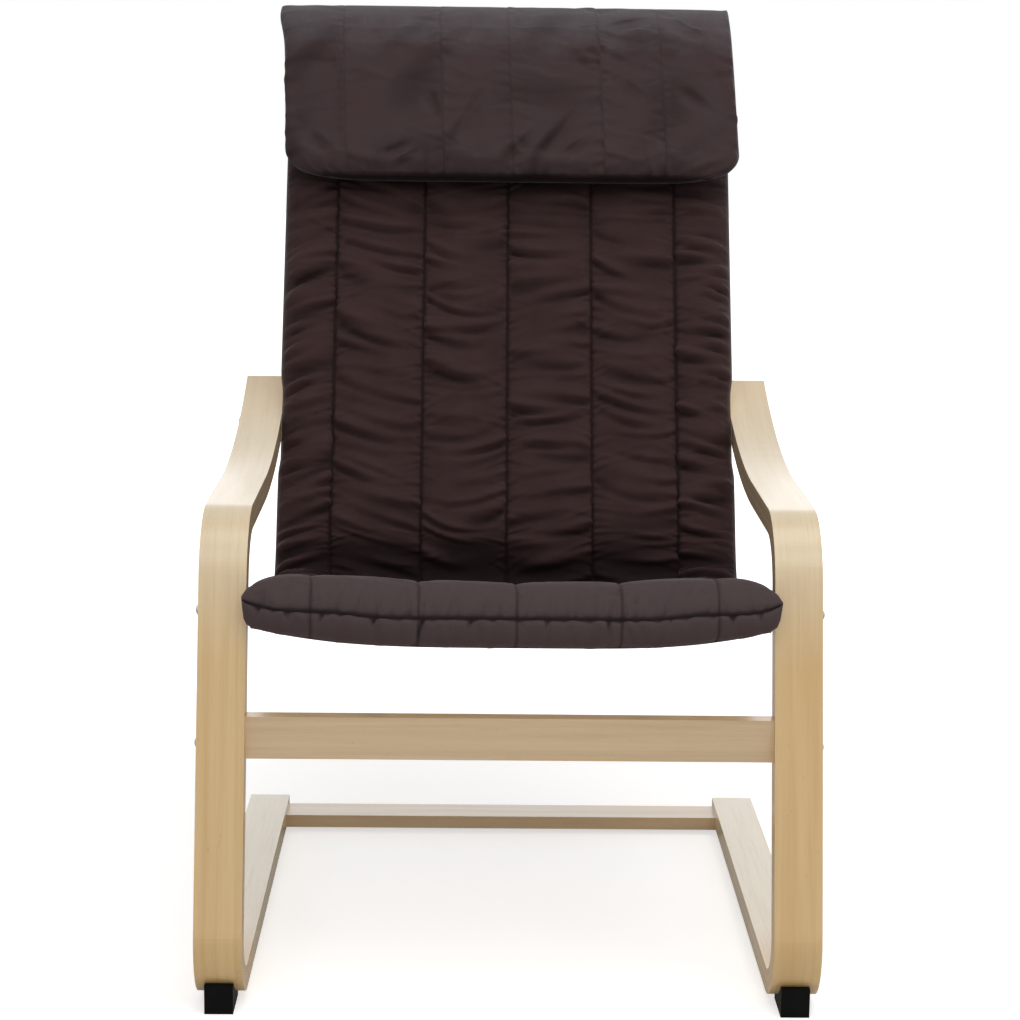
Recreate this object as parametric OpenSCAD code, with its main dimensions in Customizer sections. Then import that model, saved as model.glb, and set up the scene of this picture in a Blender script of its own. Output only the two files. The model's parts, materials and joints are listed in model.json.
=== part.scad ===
// Bentwood lounge chair with a quilted cushion and a hinged head flap.
// X runs across the chair, +Y to its rear, +Z up. The floor is z = 0.

/* [Chair] */
// Outside width over the two side frames
chair_w = 650; // [610:5:700]
// Lean of the front legs behind the vertical
leg_lean = 13.6; // [11:0.2:16]
// Height of the flat of the arms above the floor
arm_z = 510; // [495:5:530]

/* [Bent side frame] */
// Width of the bent strip
strip_w = 50; // [46:1:56]
// Thickness of the bent strip
strip_t = 26; // [24:1:29]
// Outer radius of the bend at the floor
floor_bend_r = 66; // [62:1:72]
// Outer radius of the bend between leg and arm
arm_bend_r = 85; // [75:1:95]
// Height of the lowest point of the floor bend
bend_clear = 8.5; // [8:0.5:12]
// Fall of the runner towards its rear end
runner_fall = 0.2; // [0.1:0.1:0.4]
// Length of the runner behind the floor bend
runner_l = 612; // [590:2:640]
// Distance of the rising part of the arm behind the floor bend
arm_rise_y = 252; // [230:2:270]
// Radius of the top of the rising part of the arm
arm_rise_r = 900; // [800:20:1000]
// Angle through which the arm curves up
arm_rise_a = 23; // [22.6:0.2:25]

/* [Crossbars] */
// Height of the front crossbar board
bar_h = 45; // [42:1:52]
// Thickness of the front crossbar board
bar_t = 18.5; // [17:0.5:22]
// Height of the middle of the front crossbar
bar_z = 284; // [260:2:300]
// Distance of the crossbar's middle behind the middle of the leg
bar_back = 4; // [2:0.5:5]
// Distance of the crossbar's bolt below the board's middle
bar_bolt_drop = 8; // [7:0.5:9]
// Distance of the crossbar's dowel above the board's middle
bar_dowel_rise = 12; // [11:0.5:13]
// Width of the flat rear stretcher
stretch_w = 51; // [48:1:60]
// Thickness of the rear stretcher
stretch_t = 16; // [15:0.5:20]
// Distance of the rear stretcher from the end of the runners
stretch_in = 5; // [3:1:12]

/* [Seat frame] */
// Fall of the seat towards the back
seat_fall = 15; // [13:0.5:17]
// Lean of the back behind the vertical
back_lean = 26; // [24:0.5:28]
// Width of the bent seat rails
rail_w = 50; // [46:1:54]
// Thickness of the bent seat rails
rail_t = 24; // [22:1:27]
// Radius of the rail's inner face between seat and back
rail_bend_r = 118; // [110:2:126]
// Length of the rail in front of its leg bolt
rail_nose = 16; // [13:1:18]
// Length of the straight back part of the rail
rail_back_l = 640; // [620:5:660]
// Height of the bolt between leg and seat rail
seat_bolt_z = 411.5; // [404:0.5:420]
// Distance of the bolt between arm and seat rail behind the floor bend
arm_bolt_y = 518; // [508:2:530]

/* [Slats] */
// Width of a slat
slat_w = 56; // [48:1:58]
// Thickness of a slat
slat_t = 8; // [7:0.5:9]
// Dip of a slat in the middle
slat_sag = 20; // [16:1:24]
// Depth of the slat ends below the face of the rail
slat_inset = 5; // [4.5:0.5:7]
// Length of slat end held in the rail
slat_tenon = 14; // [10:0.5:14]
// Distance of the first seat slat behind the leg bolt
seat_slat_first = 20; // [20:1:24]
// Distance of the first back slat above the bend
back_slat_first = 45; // [36:1:55]
// Width of the top slat
top_slat_w = 70; // [60:1:80]
// Thickness of the top slat
top_slat_t = 12; // [10:0.5:13]
// Distance of the top slat from the end of the rails
top_slat_in = 8; // [5:1:15]

/* [Fasteners] */
// Diameter of the connector bolts
bolt_d = 6; // [5:0.5:7]
// Diameter of the domed bolt heads
bolt_head_d = 14; // [12:0.5:16]
// Height of the domed bolt heads
bolt_head_h = 3.5; // [3:0.5:4.5]
// Width of the hexagon socket across its corners
socket_d = 4.6; // [4:0.2:5]
// Depth of the hexagon socket
socket_h = 2; // [1.5:0.25:2.5]
// Diameter of the barrel nuts
nut_d = 10; // [9:0.5:11]
// Length of the barrel nuts in the seat rails and the front crossbar
nut_l = 15; // [13:0.5:16]
// Length of the barrel nuts in the rear stretcher
short_nut_l = 11; // [9:0.5:12]
// Distance of a barrel nut from the joint that it pulls together
nut_in = 25; // [22:0.5:26]
// Diameter of the dowels
dowel_d = 8; // [6:0.5:8]
// Length of the dowels
dowel_l = 36; // [30:1:40]
// Distance between the two dowels of a stretcher end
dowel_pitch = 32; // [28:1:34]

/* [Feet] */
// Width of the front feet
foot_w = 30; // [26:1:40]
// Length of the front feet
foot_l = 55; // [50:1:57]
// Height of the front feet at their front
foot_h = 31; // [26:1:34]
// Distance of a foot's front face before the centre of the floor bend
foot_front = 57.6; // [57.4:0.2:60]
// Distance of a foot's screw before the centre of the floor bend
foot_screw_y = 20; // [16:1:26]
// Diameter of the foot screws
foot_screw_d = 4; // [3.5:0.5:5]
// Length of the foot screws
foot_screw_l = 30; // [26:1:32]
// Diameter of the rear glides
glide_d = 24; // [20:1:30]
// Distance of a rear glide from the end of the runner
glide_in = 80; // [76:1:110]
// Diameter of the glide screws
glide_screw_d = 3.5; // [3:0.25:4]
// Length of the glide screws
glide_screw_l = 18; // [15:1:20]
// Depth of a screw head in its foot or glide
screw_recess = 1.5; // [1:0.25:2]

/* [Cushion] */
// Gap between the cushion and a side frame
cushion_gap = 1.5; // [1:0.5:6]
// Distance between two quilting seams
channel_w = 108; // [104:1:110]
// Depth of the quilting seams
channel_d = 4; // [2:0.5:6]
// Height of the cushion over the rails, in the middle
crown_mid = 20; // [16:1:24]
// Height of the cushion over the rails, near its sides
crown_side = 27; // [25:1:31]
// Height of the cushion's side edge over the rails
edge_h = 12; // [8:1:16]
// Reach of the cushion's front roll beyond the rails
roll_reach = 30; // [24:1:36]
// Drop of the front roll in the middle
roll_drop = 38; // [32:1:42]
// Loss of that drop towards the corners
roll_lift = 20; // [14:1:22]
// Height of the piping on the roll below the face of the rails
roll_pipe = 12; // [9:1:14]
// Length of the top of the back over which the cushion thins to its seam
top_taper = 70; // [60:5:90]
// Width of the cushion's webbing straps
strap_w = 25; // [20:1:30]
// Thickness of the webbing
strap_t = 1.5; // [1:0.25:2]
// Distance of the straps from the middle of the chair
strap_x = 150; // [120:5:170]

/* [Head flap] */
// Width of the flap
flap_w = 555; // [545:1:565]
// Length of the flap from its seam
flap_l = 241; // [225:1:255]
// Thickness of the flap
flap_t = 56; // [48:1:62]
// Distance of the hinge seam beyond the top of the rails
seam_rise = 38; // [34:1:44]
// Height of the hinge seam over the face of the rails
seam_h = 24; // [22:1:25]
// Radius of the roll along the hinge seam
seam_r = 8; // [7:0.5:9]
// Height of the cushion's top edge beside the hinge seam
seam_edge_h = 21; // [18:0.5:21]
// Length of the rounding at the flap's seam
flap_root = 120; // [100:5:130]
// Length of the rounding at the flap's lower edge
flap_end = 40; // [34:1:50]
// Width of the rounding of the flap's lower corners
flap_corner_w = 60; // [50:1:70]
// Height of the rounding of the flap's lower corners
flap_corner_h = 38; // [30:1:44]

/* [Clearances] */
// Clearance between seated wooden parts
fit_gap = 0.3; // [0.2:0.05:0.4]
// Clearance round a bolt in its hole
bolt_gap = 0.2; // [0.1:0.05:0.4]
// Clearance round a screw or in a nut's thread
thread_gap = 0.05; // [0.02:0.01:0.1]

/* [Hidden] */
$fn = 96;
birch = [0.87, 0.79, 0.65];
steel = [0.75, 0.76, 0.78];
dark_cloth = [0.20, 0.16, 0.15];
black_plastic = [0.06, 0.06, 0.06];

seat_slats = 4;
back_slats = 5;
seams_each_side = 2;
bend_steps = 24;
rise_steps = 16;
rail_steps = 20;

// Places in the side view are [y, z] with y = 0 over the centre of the floor bend.
function turned(a) = [cos(a), sin(a)];
function arc_points(c, r, from, to, steps) =
    [for (i = [0:steps]) c + r * turned(from + (to - from) * i / steps)];
function dot(p, q) = p[0] * q[0] + p[1] * q[1];
function meet(n1, d1, n2, d2) =
    [d1 * n2[1] - d2 * n1[1], n1[0] * d2 - n2[0] * d1] / (n1[0] * n2[1] - n1[1] * n2[0]);

inner_w = chair_w - 2 * strip_w;
strip_x = (chair_w - strip_w) / 2;
rail_x = (inner_w - rail_w) / 2;
rail_in_x = inner_w / 2 - rail_w;

// Side frame: floor bend, leg, arm bend, flat arm and rising arm.
leg_dir = turned(90 - leg_lean);
leg_in = turned(-leg_lean);
floor_c = [0, bend_clear + floor_bend_r];
arm_c_z = arm_z - arm_bend_r;
arm_c_y = (arm_bend_r - floor_bend_r + sin(leg_lean) * (arm_c_z - floor_c[1])) / cos(leg_lean);
arm_c = [arm_c_y, arm_c_z];
leg_l = dot(arm_c - floor_c, leg_dir);
rise_c = [arm_rise_y, arm_z + arm_rise_r];
leg_mid_r = floor_bend_r - strip_t / 2;
function leg_mid_y(z) =
    -leg_mid_r * cos(leg_lean) + tan(leg_lean) * (z - floor_c[1] - leg_mid_r * sin(leg_lean));
function arm_mid_z(y) =
    rise_c[1] - sqrt(pow(arm_rise_r + strip_t / 2, 2) - pow(y - arm_rise_y, 2));

// Seat rail: straight seat part, bend and straight back part, along its middle line.
seat_bolt = [leg_mid_y(seat_bolt_z), seat_bolt_z];
arm_bolt = [arm_bolt_y, arm_mid_z(arm_bolt_y)];
rail_mid_r = rail_bend_r + rail_t / 2;
seat_up = turned(90 - seat_fall);
back_out = turned(180 - back_lean);
rail_c = meet(seat_up, rail_mid_r + dot(seat_up, seat_bolt),
              back_out, rail_mid_r + dot(back_out, arm_bolt));
seat_end = rail_c - rail_mid_r * seat_up;
back_start = rail_c - rail_mid_r * back_out;
seat_l = dot(seat_end - seat_bolt, turned(-seat_fall));
bend_a = 90 + seat_fall - back_lean;
bend_l = rail_mid_r * bend_a * PI / 180;
back_s = seat_l + bend_l;
arm_bolt_s = back_s + dot(arm_bolt - back_start, turned(90 - back_lean));

// Angle and place on the rail's middle line at the length s behind the leg bolt, n above it.
function rail_angle(s) =
    -seat_fall + bend_a * min(1, max(0, (s - seat_l) / bend_l));
function rail_point(s, n) =
    let (a = rail_angle(s), up = turned(a + 90), along = turned(a))
    s < seat_l ? seat_bolt + s * along + n * up
    : s < back_s ? rail_c - (rail_mid_r - n) * up
    : back_start + (s - back_s) * along + n * up;

// Slats: the top surface is an arc hung between the rails.
slat_r = (pow(rail_in_x, 2) + pow(slat_sag, 2)) / (2 * slat_sag);
slat_end_n = rail_t / 2 - slat_inset;
slat_c_n = slat_end_n - slat_sag + slat_r;
slat_half = rail_in_x + slat_tenon;
seat_slat_pitch = (seat_l - slat_w / 2 - seat_slat_first) / (seat_slats - 1);
top_slat_s = back_s + rail_back_l - top_slat_in - top_slat_w / 2;
back_slat_pitch = (top_slat_s - back_s - back_slat_first) / back_slats;
function seat_slat_s(i) = seat_slat_first + (i - 1) * seat_slat_pitch;
function back_slat_s(i) = back_s + back_slat_first + (i - 1) * back_slat_pitch;
slat_places = concat([for (i = [1:seat_slats]) [seat_slat_s(i), slat_w, slat_t]],
                     [for (i = [1:back_slats]) [back_slat_s(i), slat_w, slat_t]],
                     [[top_slat_s, top_slat_w, top_slat_t]]);

// Crossbars and feet.
bar_y = leg_mid_y(bar_z) + bar_back;
bar_bolt = [bar_y, bar_z - bar_bolt_drop];
bar_dowel = [bar_y, bar_z + bar_dowel_rise];
stretch_mid = runner_l - stretch_in - stretch_w / 2;
glide_mid = runner_l - glide_in;
function runner_point(d, h) =
    floor_c + d * turned(-runner_fall) + (h - floor_bend_r) * turned(90 - runner_fall);
stretch_bolt = runner_point(stretch_mid, stretch_t / 2);
glide_y = runner_point(glide_mid, 0)[0];
bolt_points = [bar_bolt, seat_bolt, arm_bolt, stretch_bolt];
bolt_l = strip_w + nut_in + nut_d / 2;
bolt_hole_l = nut_in + nut_d / 2 + 3;

// Cushion and flap.
cushion_half = inner_w / 2 - cushion_gap;
last_seam = seams_each_side * channel_w;
seam_s = back_s + rail_back_l + seam_rise;
top_reach = sqrt(pow(seam_r + fit_gap, 2) - pow(seam_h - seam_edge_h, 2));
cushion_end_s = seam_s - top_reach;
hinge = rail_point(seam_s, rail_t / 2 + seam_h);
flap_rest_h = crown_side + fit_gap;

// The chair is centred front to rear over its whole length.
front_y = -max(floor_bend_r, foot_front);
cushion_rear = rail_point(cushion_end_s, slat_end_n - slat_sag + fit_gap)[0];
slat_rear = rail_point(top_slat_s + top_slat_w / 2, slat_end_n - slat_sag - top_slat_t)[0];
rail_rear = rail_point(back_s + rail_back_l, -rail_t / 2)[0];
mid_y = (front_y + max(cushion_rear, slat_rear, rail_rear)) / 2;

// Side view shapes, stretched across the chair.
module side_view(w) {
    rotate([90, 0, 90]) linear_extrude(w, center = true) children();
}

module place(x, p) {
    translate([x, p[0] - mid_y, p[1]]) children();
}

module side_shape() {
    leg_a = 180 - leg_lean;
    runner_a = 270 - runner_fall;
    arm_end_a = 270 + arm_rise_a;
    polygon(concat(
        [runner_point(runner_l, 0)],
        arc_points(floor_c, floor_bend_r, runner_a, leg_a, bend_steps),
        arc_points(arm_c, arm_bend_r, leg_a, 90, bend_steps),
        arc_points(rise_c, arm_rise_r, 270, arm_end_a, rise_steps),
        arc_points(rise_c, arm_rise_r + strip_t, arm_end_a, 270, rise_steps),
        arc_points(arm_c, arm_bend_r - strip_t, 90, leg_a, bend_steps),
        arc_points(floor_c, floor_bend_r - strip_t, leg_a, runner_a, bend_steps),
        [runner_point(runner_l, strip_t)]));
}

module across_hole(p, d, l) {
    translate([0, p[0], p[1]]) rotate([0, 90, 0]) cylinder(d = d, h = l, center = true);
}

// Dowel places in the runner, either side of the stretcher's bolt.
function stretch_dowel(side) = runner_point(stretch_mid + side * dowel_pitch / 2, stretch_t / 2);

module side_frame(side) {
    dowel_half = dowel_l / 2 + fit_gap;
    inner_x = -side * strip_w / 2;
    color(birch) translate([side * strip_x, -mid_y, 0]) difference() {
        side_view(strip_w) side_shape();
        for (p = bolt_points) across_hole(p, bolt_d + 2 * bolt_gap, 2 * strip_w);
        for (p = [bar_dowel, stretch_dowel(-1), stretch_dowel(1)])
            translate([inner_x, 0, 0]) across_hole(p, dowel_d + 2 * thread_gap, 2 * dowel_half);
        translate([0, -foot_screw_y, 0])
            cylinder(d = foot_screw_d + 2 * thread_gap, h = screw_recess + foot_screw_l + fit_gap);
        translate([0, glide_y, 0])
            cylinder(d = glide_screw_d + 2 * thread_gap, h = screw_recess + glide_screw_l + fit_gap);
    }
}

module left_side_frame() {
    side_frame(-1);
}

module right_side_frame() {
    side_frame(1);
}

// Holes in the end of a board or rail for its bolt: along X from the face at +X.
module bolt_bore() {
    rotate([0, 90, 0]) cylinder(d = bolt_d + 2 * bolt_gap, h = 2 * bolt_hole_l, center = true);
}

module front_crossbar() {
    nut_hole_l = (bar_t + nut_l) / 2 + 2 * fit_gap;
    color(birch) difference() {
        place(0, [bar_y, bar_z]) cube([inner_w, bar_t, bar_h], center = true);
        for (side = [-1, 1]) {
            place(side * inner_w / 2, bar_bolt) bolt_bore();
            place(side * (inner_w / 2 - nut_in), [bar_y + bar_t / 2 + fit_gap, bar_bolt[1]])
                rotate([90, 0, 0]) cylinder(d = nut_d + 2 * bolt_gap, h = nut_hole_l);
            place(side * inner_w / 2, bar_dowel) rotate([0, 90, 0])
                cylinder(d = dowel_d + 2 * thread_gap, h = dowel_l + 2 * fit_gap, center = true);
        }
    }
}

module runner_frame(d) {
    place(0, runner_point(d, 0)) rotate([-runner_fall, 0, 0]) children();
}

module rear_stretcher() {
    nut_hole_l = (stretch_t + short_nut_l) / 2 + 2 * fit_gap;
    color(birch) runner_frame(stretch_mid) difference() {
        translate([0, 0, stretch_t / 2]) cube([inner_w, stretch_w, stretch_t], center = true);
        for (side = [-1, 1]) {
            translate([side * inner_w / 2, 0, stretch_t / 2]) bolt_bore();
            translate([side * (inner_w / 2 - nut_in), 0, -fit_gap])
                cylinder(d = nut_d + 2 * bolt_gap, h = nut_hole_l);
            for (k = [-1, 1])
                translate([side * inner_w / 2, k * dowel_pitch / 2, stretch_t / 2]) rotate([0, 90, 0])
                    cylinder(d = dowel_d + 2 * thread_gap, h = dowel_l + 2 * fit_gap, center = true);
        }
    }
}

// Local frame on a rail: Y along it, Z out of its sitting face.
module on_rail(s) {
    place(0, rail_point(s, 0)) rotate([rail_angle(s), 0, 0]) children();
}

module slat_shape(w, t, extra) {
    rotate([90, 0, 0]) linear_extrude(w + 2 * extra, center = true) intersection() {
        translate([0, slat_c_n]) difference() {
            circle(slat_r + t + extra, $fn = 720);
            circle(slat_r - extra, $fn = 720);
        }
        translate([-slat_half - extra, -2 * slat_sag - t])
            square([2 * (slat_half + extra), 3 * slat_sag + t + rail_t]);
    }
}

module rail_shape() {
    from = 270 - seat_fall;
    to = from + bend_a;
    polygon(concat(
        [rail_point(-rail_nose, -rail_t / 2)],
        arc_points(rail_c, rail_bend_r + rail_t, from, to, rail_steps),
        [rail_point(back_s + rail_back_l, -rail_t / 2), rail_point(back_s + rail_back_l, rail_t / 2)],
        arc_points(rail_c, rail_bend_r, to, from, rail_steps),
        [rail_point(-rail_nose, rail_t / 2)]));
}

module seat_rail(side) {
    nut_hole_l = (rail_t + nut_l) / 2 + 2 * fit_gap;
    color(birch) difference() {
        place(side * rail_x, [0, 0]) side_view(rail_w) rail_shape();
        for (p = slat_places) on_rail(p[0]) slat_shape(p[1], p[2], fit_gap);
        for (s = [0, arm_bolt_s]) {
            on_rail(s) translate([side * inner_w / 2, 0, 0]) bolt_bore();
            on_rail(s) translate([side * (inner_w / 2 - nut_in), 0, -rail_t / 2 - fit_gap])
                cylinder(d = nut_d + 2 * bolt_gap, h = nut_hole_l);
        }
    }
}

module left_seat_rail() {
    seat_rail(-1);
}

module right_seat_rail() {
    seat_rail(1);
}

module slat(p) {
    color(birch) on_rail(p[0]) slat_shape(p[1], p[2], 0);
}

module seat_slat(i) {
    slat(slat_places[i - 1]);
}

module back_slat(i) {
    slat(slat_places[seat_slats + i - 1]);
}

module top_slat() {
    slat([top_slat_s, top_slat_w, top_slat_t]);
}

// A connector bolt with its head on the outer face of each side frame.
module bolt() {
    dome_r = (pow(bolt_head_d / 2, 2) + pow(bolt_head_h, 2)) / (2 * bolt_head_h);
    difference() {
        intersection() {
            translate([0, 0, bolt_head_h - dome_r]) sphere(dome_r);
            cylinder(d = 2 * bolt_head_d, h = bolt_head_h);
        }
        translate([0, 0, bolt_head_h - socket_h]) cylinder(d = socket_d, h = bolt_head_h, $fn = 6);
    }
    translate([0, 0, -bolt_l]) cylinder(d = bolt_d, h = bolt_l);
}

module bolt_pair(p) {
    color(steel) for (side = [-1, 1])
        place(side * chair_w / 2, p) rotate([0, side * 90, 0]) bolt();
}

module crossbar_bolts() {
    bolt_pair(bar_bolt);
}

module seat_rail_bolts() {
    bolt_pair(seat_bolt);
}

module arm_bolts() {
    bolt_pair(arm_bolt);
}

module stretcher_bolts() {
    bolt_pair(stretch_bolt);
}

// A barrel nut lies across its bolt; tilt turns it from upright about the bolt.
module nut_pair(p, tilt, l) {
    color(steel) for (side = [-1, 1])
        place(side * (inner_w / 2 - nut_in), p) rotate([tilt, 0, 0]) difference() {
            cylinder(d = nut_d, h = l, center = true);
            rotate([0, 90, 0]) cylinder(d = bolt_d + 2 * thread_gap, h = 2 * nut_d, center = true);
        }
}

module crossbar_nuts() {
    nut_pair(bar_bolt, 90, nut_l);
}

module seat_rail_nuts() {
    nut_pair(seat_bolt, -seat_fall, nut_l);
}

module arm_nuts() {
    nut_pair(arm_bolt, 90 - back_lean, nut_l);
}

module stretcher_nuts() {
    nut_pair(stretch_bolt, -runner_fall, short_nut_l);
}

module dowel_pair(p) {
    color(birch) for (side = [-1, 1])
        place(side * inner_w / 2, p) rotate([0, 90, 0]) cylinder(d = dowel_d, h = dowel_l, center = true);
}

module crossbar_dowels() {
    dowel_pair(bar_dowel);
}

module stretcher_dowels() {
    dowel_pair(stretch_dowel(-1));
    dowel_pair(stretch_dowel(1));
}

// A foot is a block coped to the floor bend.
module front_foot(side) {
    color(black_plastic) place(side * strip_x, [0, 0]) difference() {
        translate([-foot_w / 2, -foot_front, 0]) cube([foot_w, foot_l, foot_h]);
        translate([0, 0, floor_c[1]]) rotate([0, 90, 0])
            cylinder(r = floor_bend_r, h = 2 * foot_w, center = true, $fn = 360);
        translate([0, -foot_screw_y, -1]) screw_hole(foot_screw_d);
    }
}

module left_front_foot() {
    front_foot(-1);
}

module right_front_foot() {
    front_foot(1);
}

// Clearance for a countersunk screw entered from below, starting 1 below the floor.
module screw_hole(d) {
    cylinder(d = 2 * d + 2 * fit_gap, h = 1 + screw_recess);
    cylinder(d = d + 2 * fit_gap, h = 2 * foot_h);
    translate([0, 0, 1 + screw_recess]) cylinder(d1 = 2 * d + 2 * fit_gap, d2 = d + 2 * fit_gap, h = d / 2);
}

module wood_screw(d, l) {
    cylinder(d1 = 2 * d, d2 = d, h = d / 2);
    cylinder(d = d, h = l);
}

module rear_glide(side) {
    color(black_plastic) difference() {
        place(side * strip_x, [glide_y, 0]) cylinder(d = glide_d, h = bend_clear);
        runner_frame(glide_mid) translate([side * strip_x, 0, bend_clear])
            cube([2 * glide_d, 2 * glide_d, 2 * bend_clear], center = true);
        place(side * strip_x, [glide_y, -1]) screw_hole(glide_screw_d);
    }
}

module left_rear_glide() {
    rear_glide(-1);
}

module right_rear_glide() {
    rear_glide(1);
}

module foot_screws() {
    color(steel) for (side = [-1, 1])
        place(side * strip_x, [-foot_screw_y, screw_recess]) wood_screw(foot_screw_d, foot_screw_l);
}

module glide_screws() {
    color(steel) for (side = [-1, 1])
        place(side * strip_x, [glide_y, screw_recess]) wood_screw(glide_screw_d, glide_screw_l);
}

// A strap runs from the cushion round the underside of a slat and back.
module strap() {
    half = slat_w / 2 + fit_gap;
    deep = slat_t + fit_gap;
    rotate([90, 0, 90]) linear_extrude(strap_w, center = true) difference() {
        translate([-half - strap_t, -deep - strap_t]) square([2 * (half + strap_t), deep + strap_t]);
        translate([-half, -deep]) square([2 * half, 2 * deep]);
    }
}

module cushion_straps() {
    tilt = asin(strap_x / slat_r);
    color(dark_cloth) for (s = [seat_slat_s(3), back_slat_s(4)], side = [-1, 1])
        on_rail(s) translate([0, 0, slat_c_n]) rotate([0, -side * tilt, 0])
            translate([0, 0, -slat_r]) strap();
}

// Triangles of a closed skin: a grid of rows by columns on top, the same below, and its rim.
function quad(a, b, c, d) = [[a, b, c], [a, c, d]];
function skin_faces(rows, cols) =
    let (m = rows * cols,
         flat_quads = [for (i = [0:rows - 2], j = [0:cols - 2]) i * cols + j],
         end_rows = [for (j = [0:cols - 2]) j],
         last = (rows - 1) * cols)
    concat(
        [for (a = flat_quads) each quad(a, a + cols, a + cols + 1, a + 1)],
        [for (a = flat_quads) each quad(m + a, m + a + 1, m + a + cols + 1, m + a + cols)],
        [for (j = end_rows) each quad(j, j + 1, m + j + 1, m + j)],
        [for (j = end_rows) each quad(last + j + 1, last + j, m + last + j, m + last + j + 1)],
        [for (i = [0:rows - 2]) let (a = i * cols, c = a + cols) each quad(c, a, m + a, m + c)],
        [for (i = [0:rows - 2]) let (a = i * cols + cols - 1, c = a + cols)
            each quad(a, c, m + c, m + a)]);

// Height of the cushion's face over the rails at x, with its crown, sides and seams.
function seam_dip(x) = channel_d * pow(cos(180 * x / channel_w), 8);
function crown(x) =
    let (a = abs(x))
    a <= last_seam ? crown_mid + (crown_side - crown_mid) * pow(a / last_seam, 2)
    : crown_side - (crown_side - edge_h) * pow((a - last_seam) / (cushion_half - last_seam), 2);
function face_h(x) = crown(x) - (abs(x) < last_seam + channel_w / 3 ? seam_dip(x) : 0);

// Height of the slats and rails under the cushion at x.
function bed_h(x) =
    abs(x) > last_seam - channel_w / 8 ? fit_gap
    : slat_c_n - rail_t / 2 + fit_gap - sqrt(pow(slat_r, 2) - x * x);

// The front roll is half round; round_at is 0 at its front and 1 over the rail's nose.
roll_len = roll_reach + 2;
function round_at(s) = sqrt(max(0.02, 1 - pow(min(0, (s + rail_nose - 2) / roll_len), 2)));
function cushion_top(x, s) =
    let (w = max(0, (s - cushion_end_s + top_taper) / top_taper))
    s < -rail_nose + 2 ? -roll_pipe + (face_h(x) + roll_pipe) * round_at(s)
    : face_h(x) + (seam_edge_h - face_h(x)) * w * w;
function cushion_bottom(x, s) =
    s < -rail_nose - 2 * fit_gap
    ? -roll_pipe - (roll_drop - roll_lift * pow(x / cushion_half, 2)) * round_at(s)
    : bed_h(x);

side_cols = [last_seam + channel_w / 4, (last_seam + channel_w / 4 + cushion_half) / 2, cushion_half];
cushion_cols = concat([for (k = [2:-1:0]) -side_cols[k]],
                      [for (k = [-4 * seams_each_side:4 * seams_each_side]) k * channel_w / 4],
                      side_cols);
roll_rows = [for (a = [12, 36, 60, 82]) 2 - rail_nose - roll_len * cos(a)];
cushion_rows = concat(
    roll_rows,
    [-rail_nose - fit_gap],
    [for (k = [1:4]) seat_l * k / 4],
    [for (k = [1:5]) seat_l + bend_l * k / 5],
    [for (k = [1:5]) back_s + (rail_back_l - top_taper) * k / 5],
    [for (k = [1:3]) cushion_end_s - top_taper * (3 - k) / 3]);

function in_chair(x, p) = [x, p[0] - mid_y, p[1]];

module long_cushion() {
    top = [for (s = cushion_rows, x = cushion_cols)
        in_chair(x, rail_point(s, rail_t / 2 + cushion_top(x, s)))];
    bottom = [for (s = cushion_rows, x = cushion_cols)
        in_chair(x, rail_point(s, rail_t / 2 + cushion_bottom(x, s)))];
    color(dark_cloth)
        polyhedron(concat(top, bottom), skin_faces(len(cushion_rows), len(cushion_cols)), convexity = 6);
}

// The flap hangs from the seam; t is the distance below it.
function flap_end_at(t) = sqrt(max(0.03, 1 - pow(max(0, (t - flap_l + flap_end) / flap_end), 2)));
function flap_root_at(t) = sqrt(max(0.02, 1 - pow(max(0, 1 - t / flap_root), 2)));
function flap_inner(t) = seam_h + (flap_rest_h - seam_h) * min(1, t / flap_end);
function flap_mid(t) = flap_inner(t) + flap_t / 2 * flap_root_at(t);
function flap_half(x, t) =
    flap_t / 2 * flap_root_at(t) * flap_end_at(t) * (1 - 0.35 * pow(2 * x / flap_w, 6));
function flap_half_w(t) =
    let (turn = max(0, (t - flap_l + flap_corner_h) / (flap_corner_h + 1)))
    flap_w / 2 - flap_corner_w * (1 - sqrt(1 - pow(turn, 2)));

flap_cols = [for (k = [-9:9]) sin(k * 10) * 0.35 + k / 9 * 0.65];
flap_rows = concat([1, 9, 20, 38, 64, 96, 130, 168],
                   [for (a = [0, 25, 45, 62, 78, 90]) flap_l - flap_end + flap_end * sin(a)]);

module head_flap() {
    top = [for (t = flap_rows, c = flap_cols)
        in_chair(c * flap_half_w(t),
                 rail_point(seam_s - t, rail_t / 2 + flap_mid(t) + flap_half(c * flap_half_w(t), t)))];
    bottom = [for (t = flap_rows, c = flap_cols)
        in_chair(c * flap_half_w(t),
                 rail_point(seam_s - t, rail_t / 2 + flap_mid(t) - flap_half(c * flap_half_w(t), t)))];
    color(dark_cloth) union() {
        polyhedron(concat(bottom, top), skin_faces(len(flap_rows), len(flap_cols)), convexity = 4);
        place(0, hinge) rotate([0, 90, 0]) cylinder(r = seam_r, h = flap_w, center = true);
    }
}

left_side_frame();
right_side_frame();
front_crossbar();
rear_stretcher();
left_seat_rail();
right_seat_rail();
for (i = [1:seat_slats]) seat_slat(i);
for (i = [1:back_slats]) back_slat(i);
top_slat();
crossbar_bolts();
seat_rail_bolts();
arm_bolts();
stretcher_bolts();
crossbar_nuts();
seat_rail_nuts();
arm_nuts();
stretcher_nuts();
crossbar_dowels();
stretcher_dowels();
left_front_foot();
right_front_foot();
left_rear_glide();
right_rear_glide();
foot_screws();
glide_screws();
cushion_straps();
long_cushion();
head_flap();
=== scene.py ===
import json
import math
import random

import bpy
import numpy as np
from mathutils import Matrix, Vector


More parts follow.
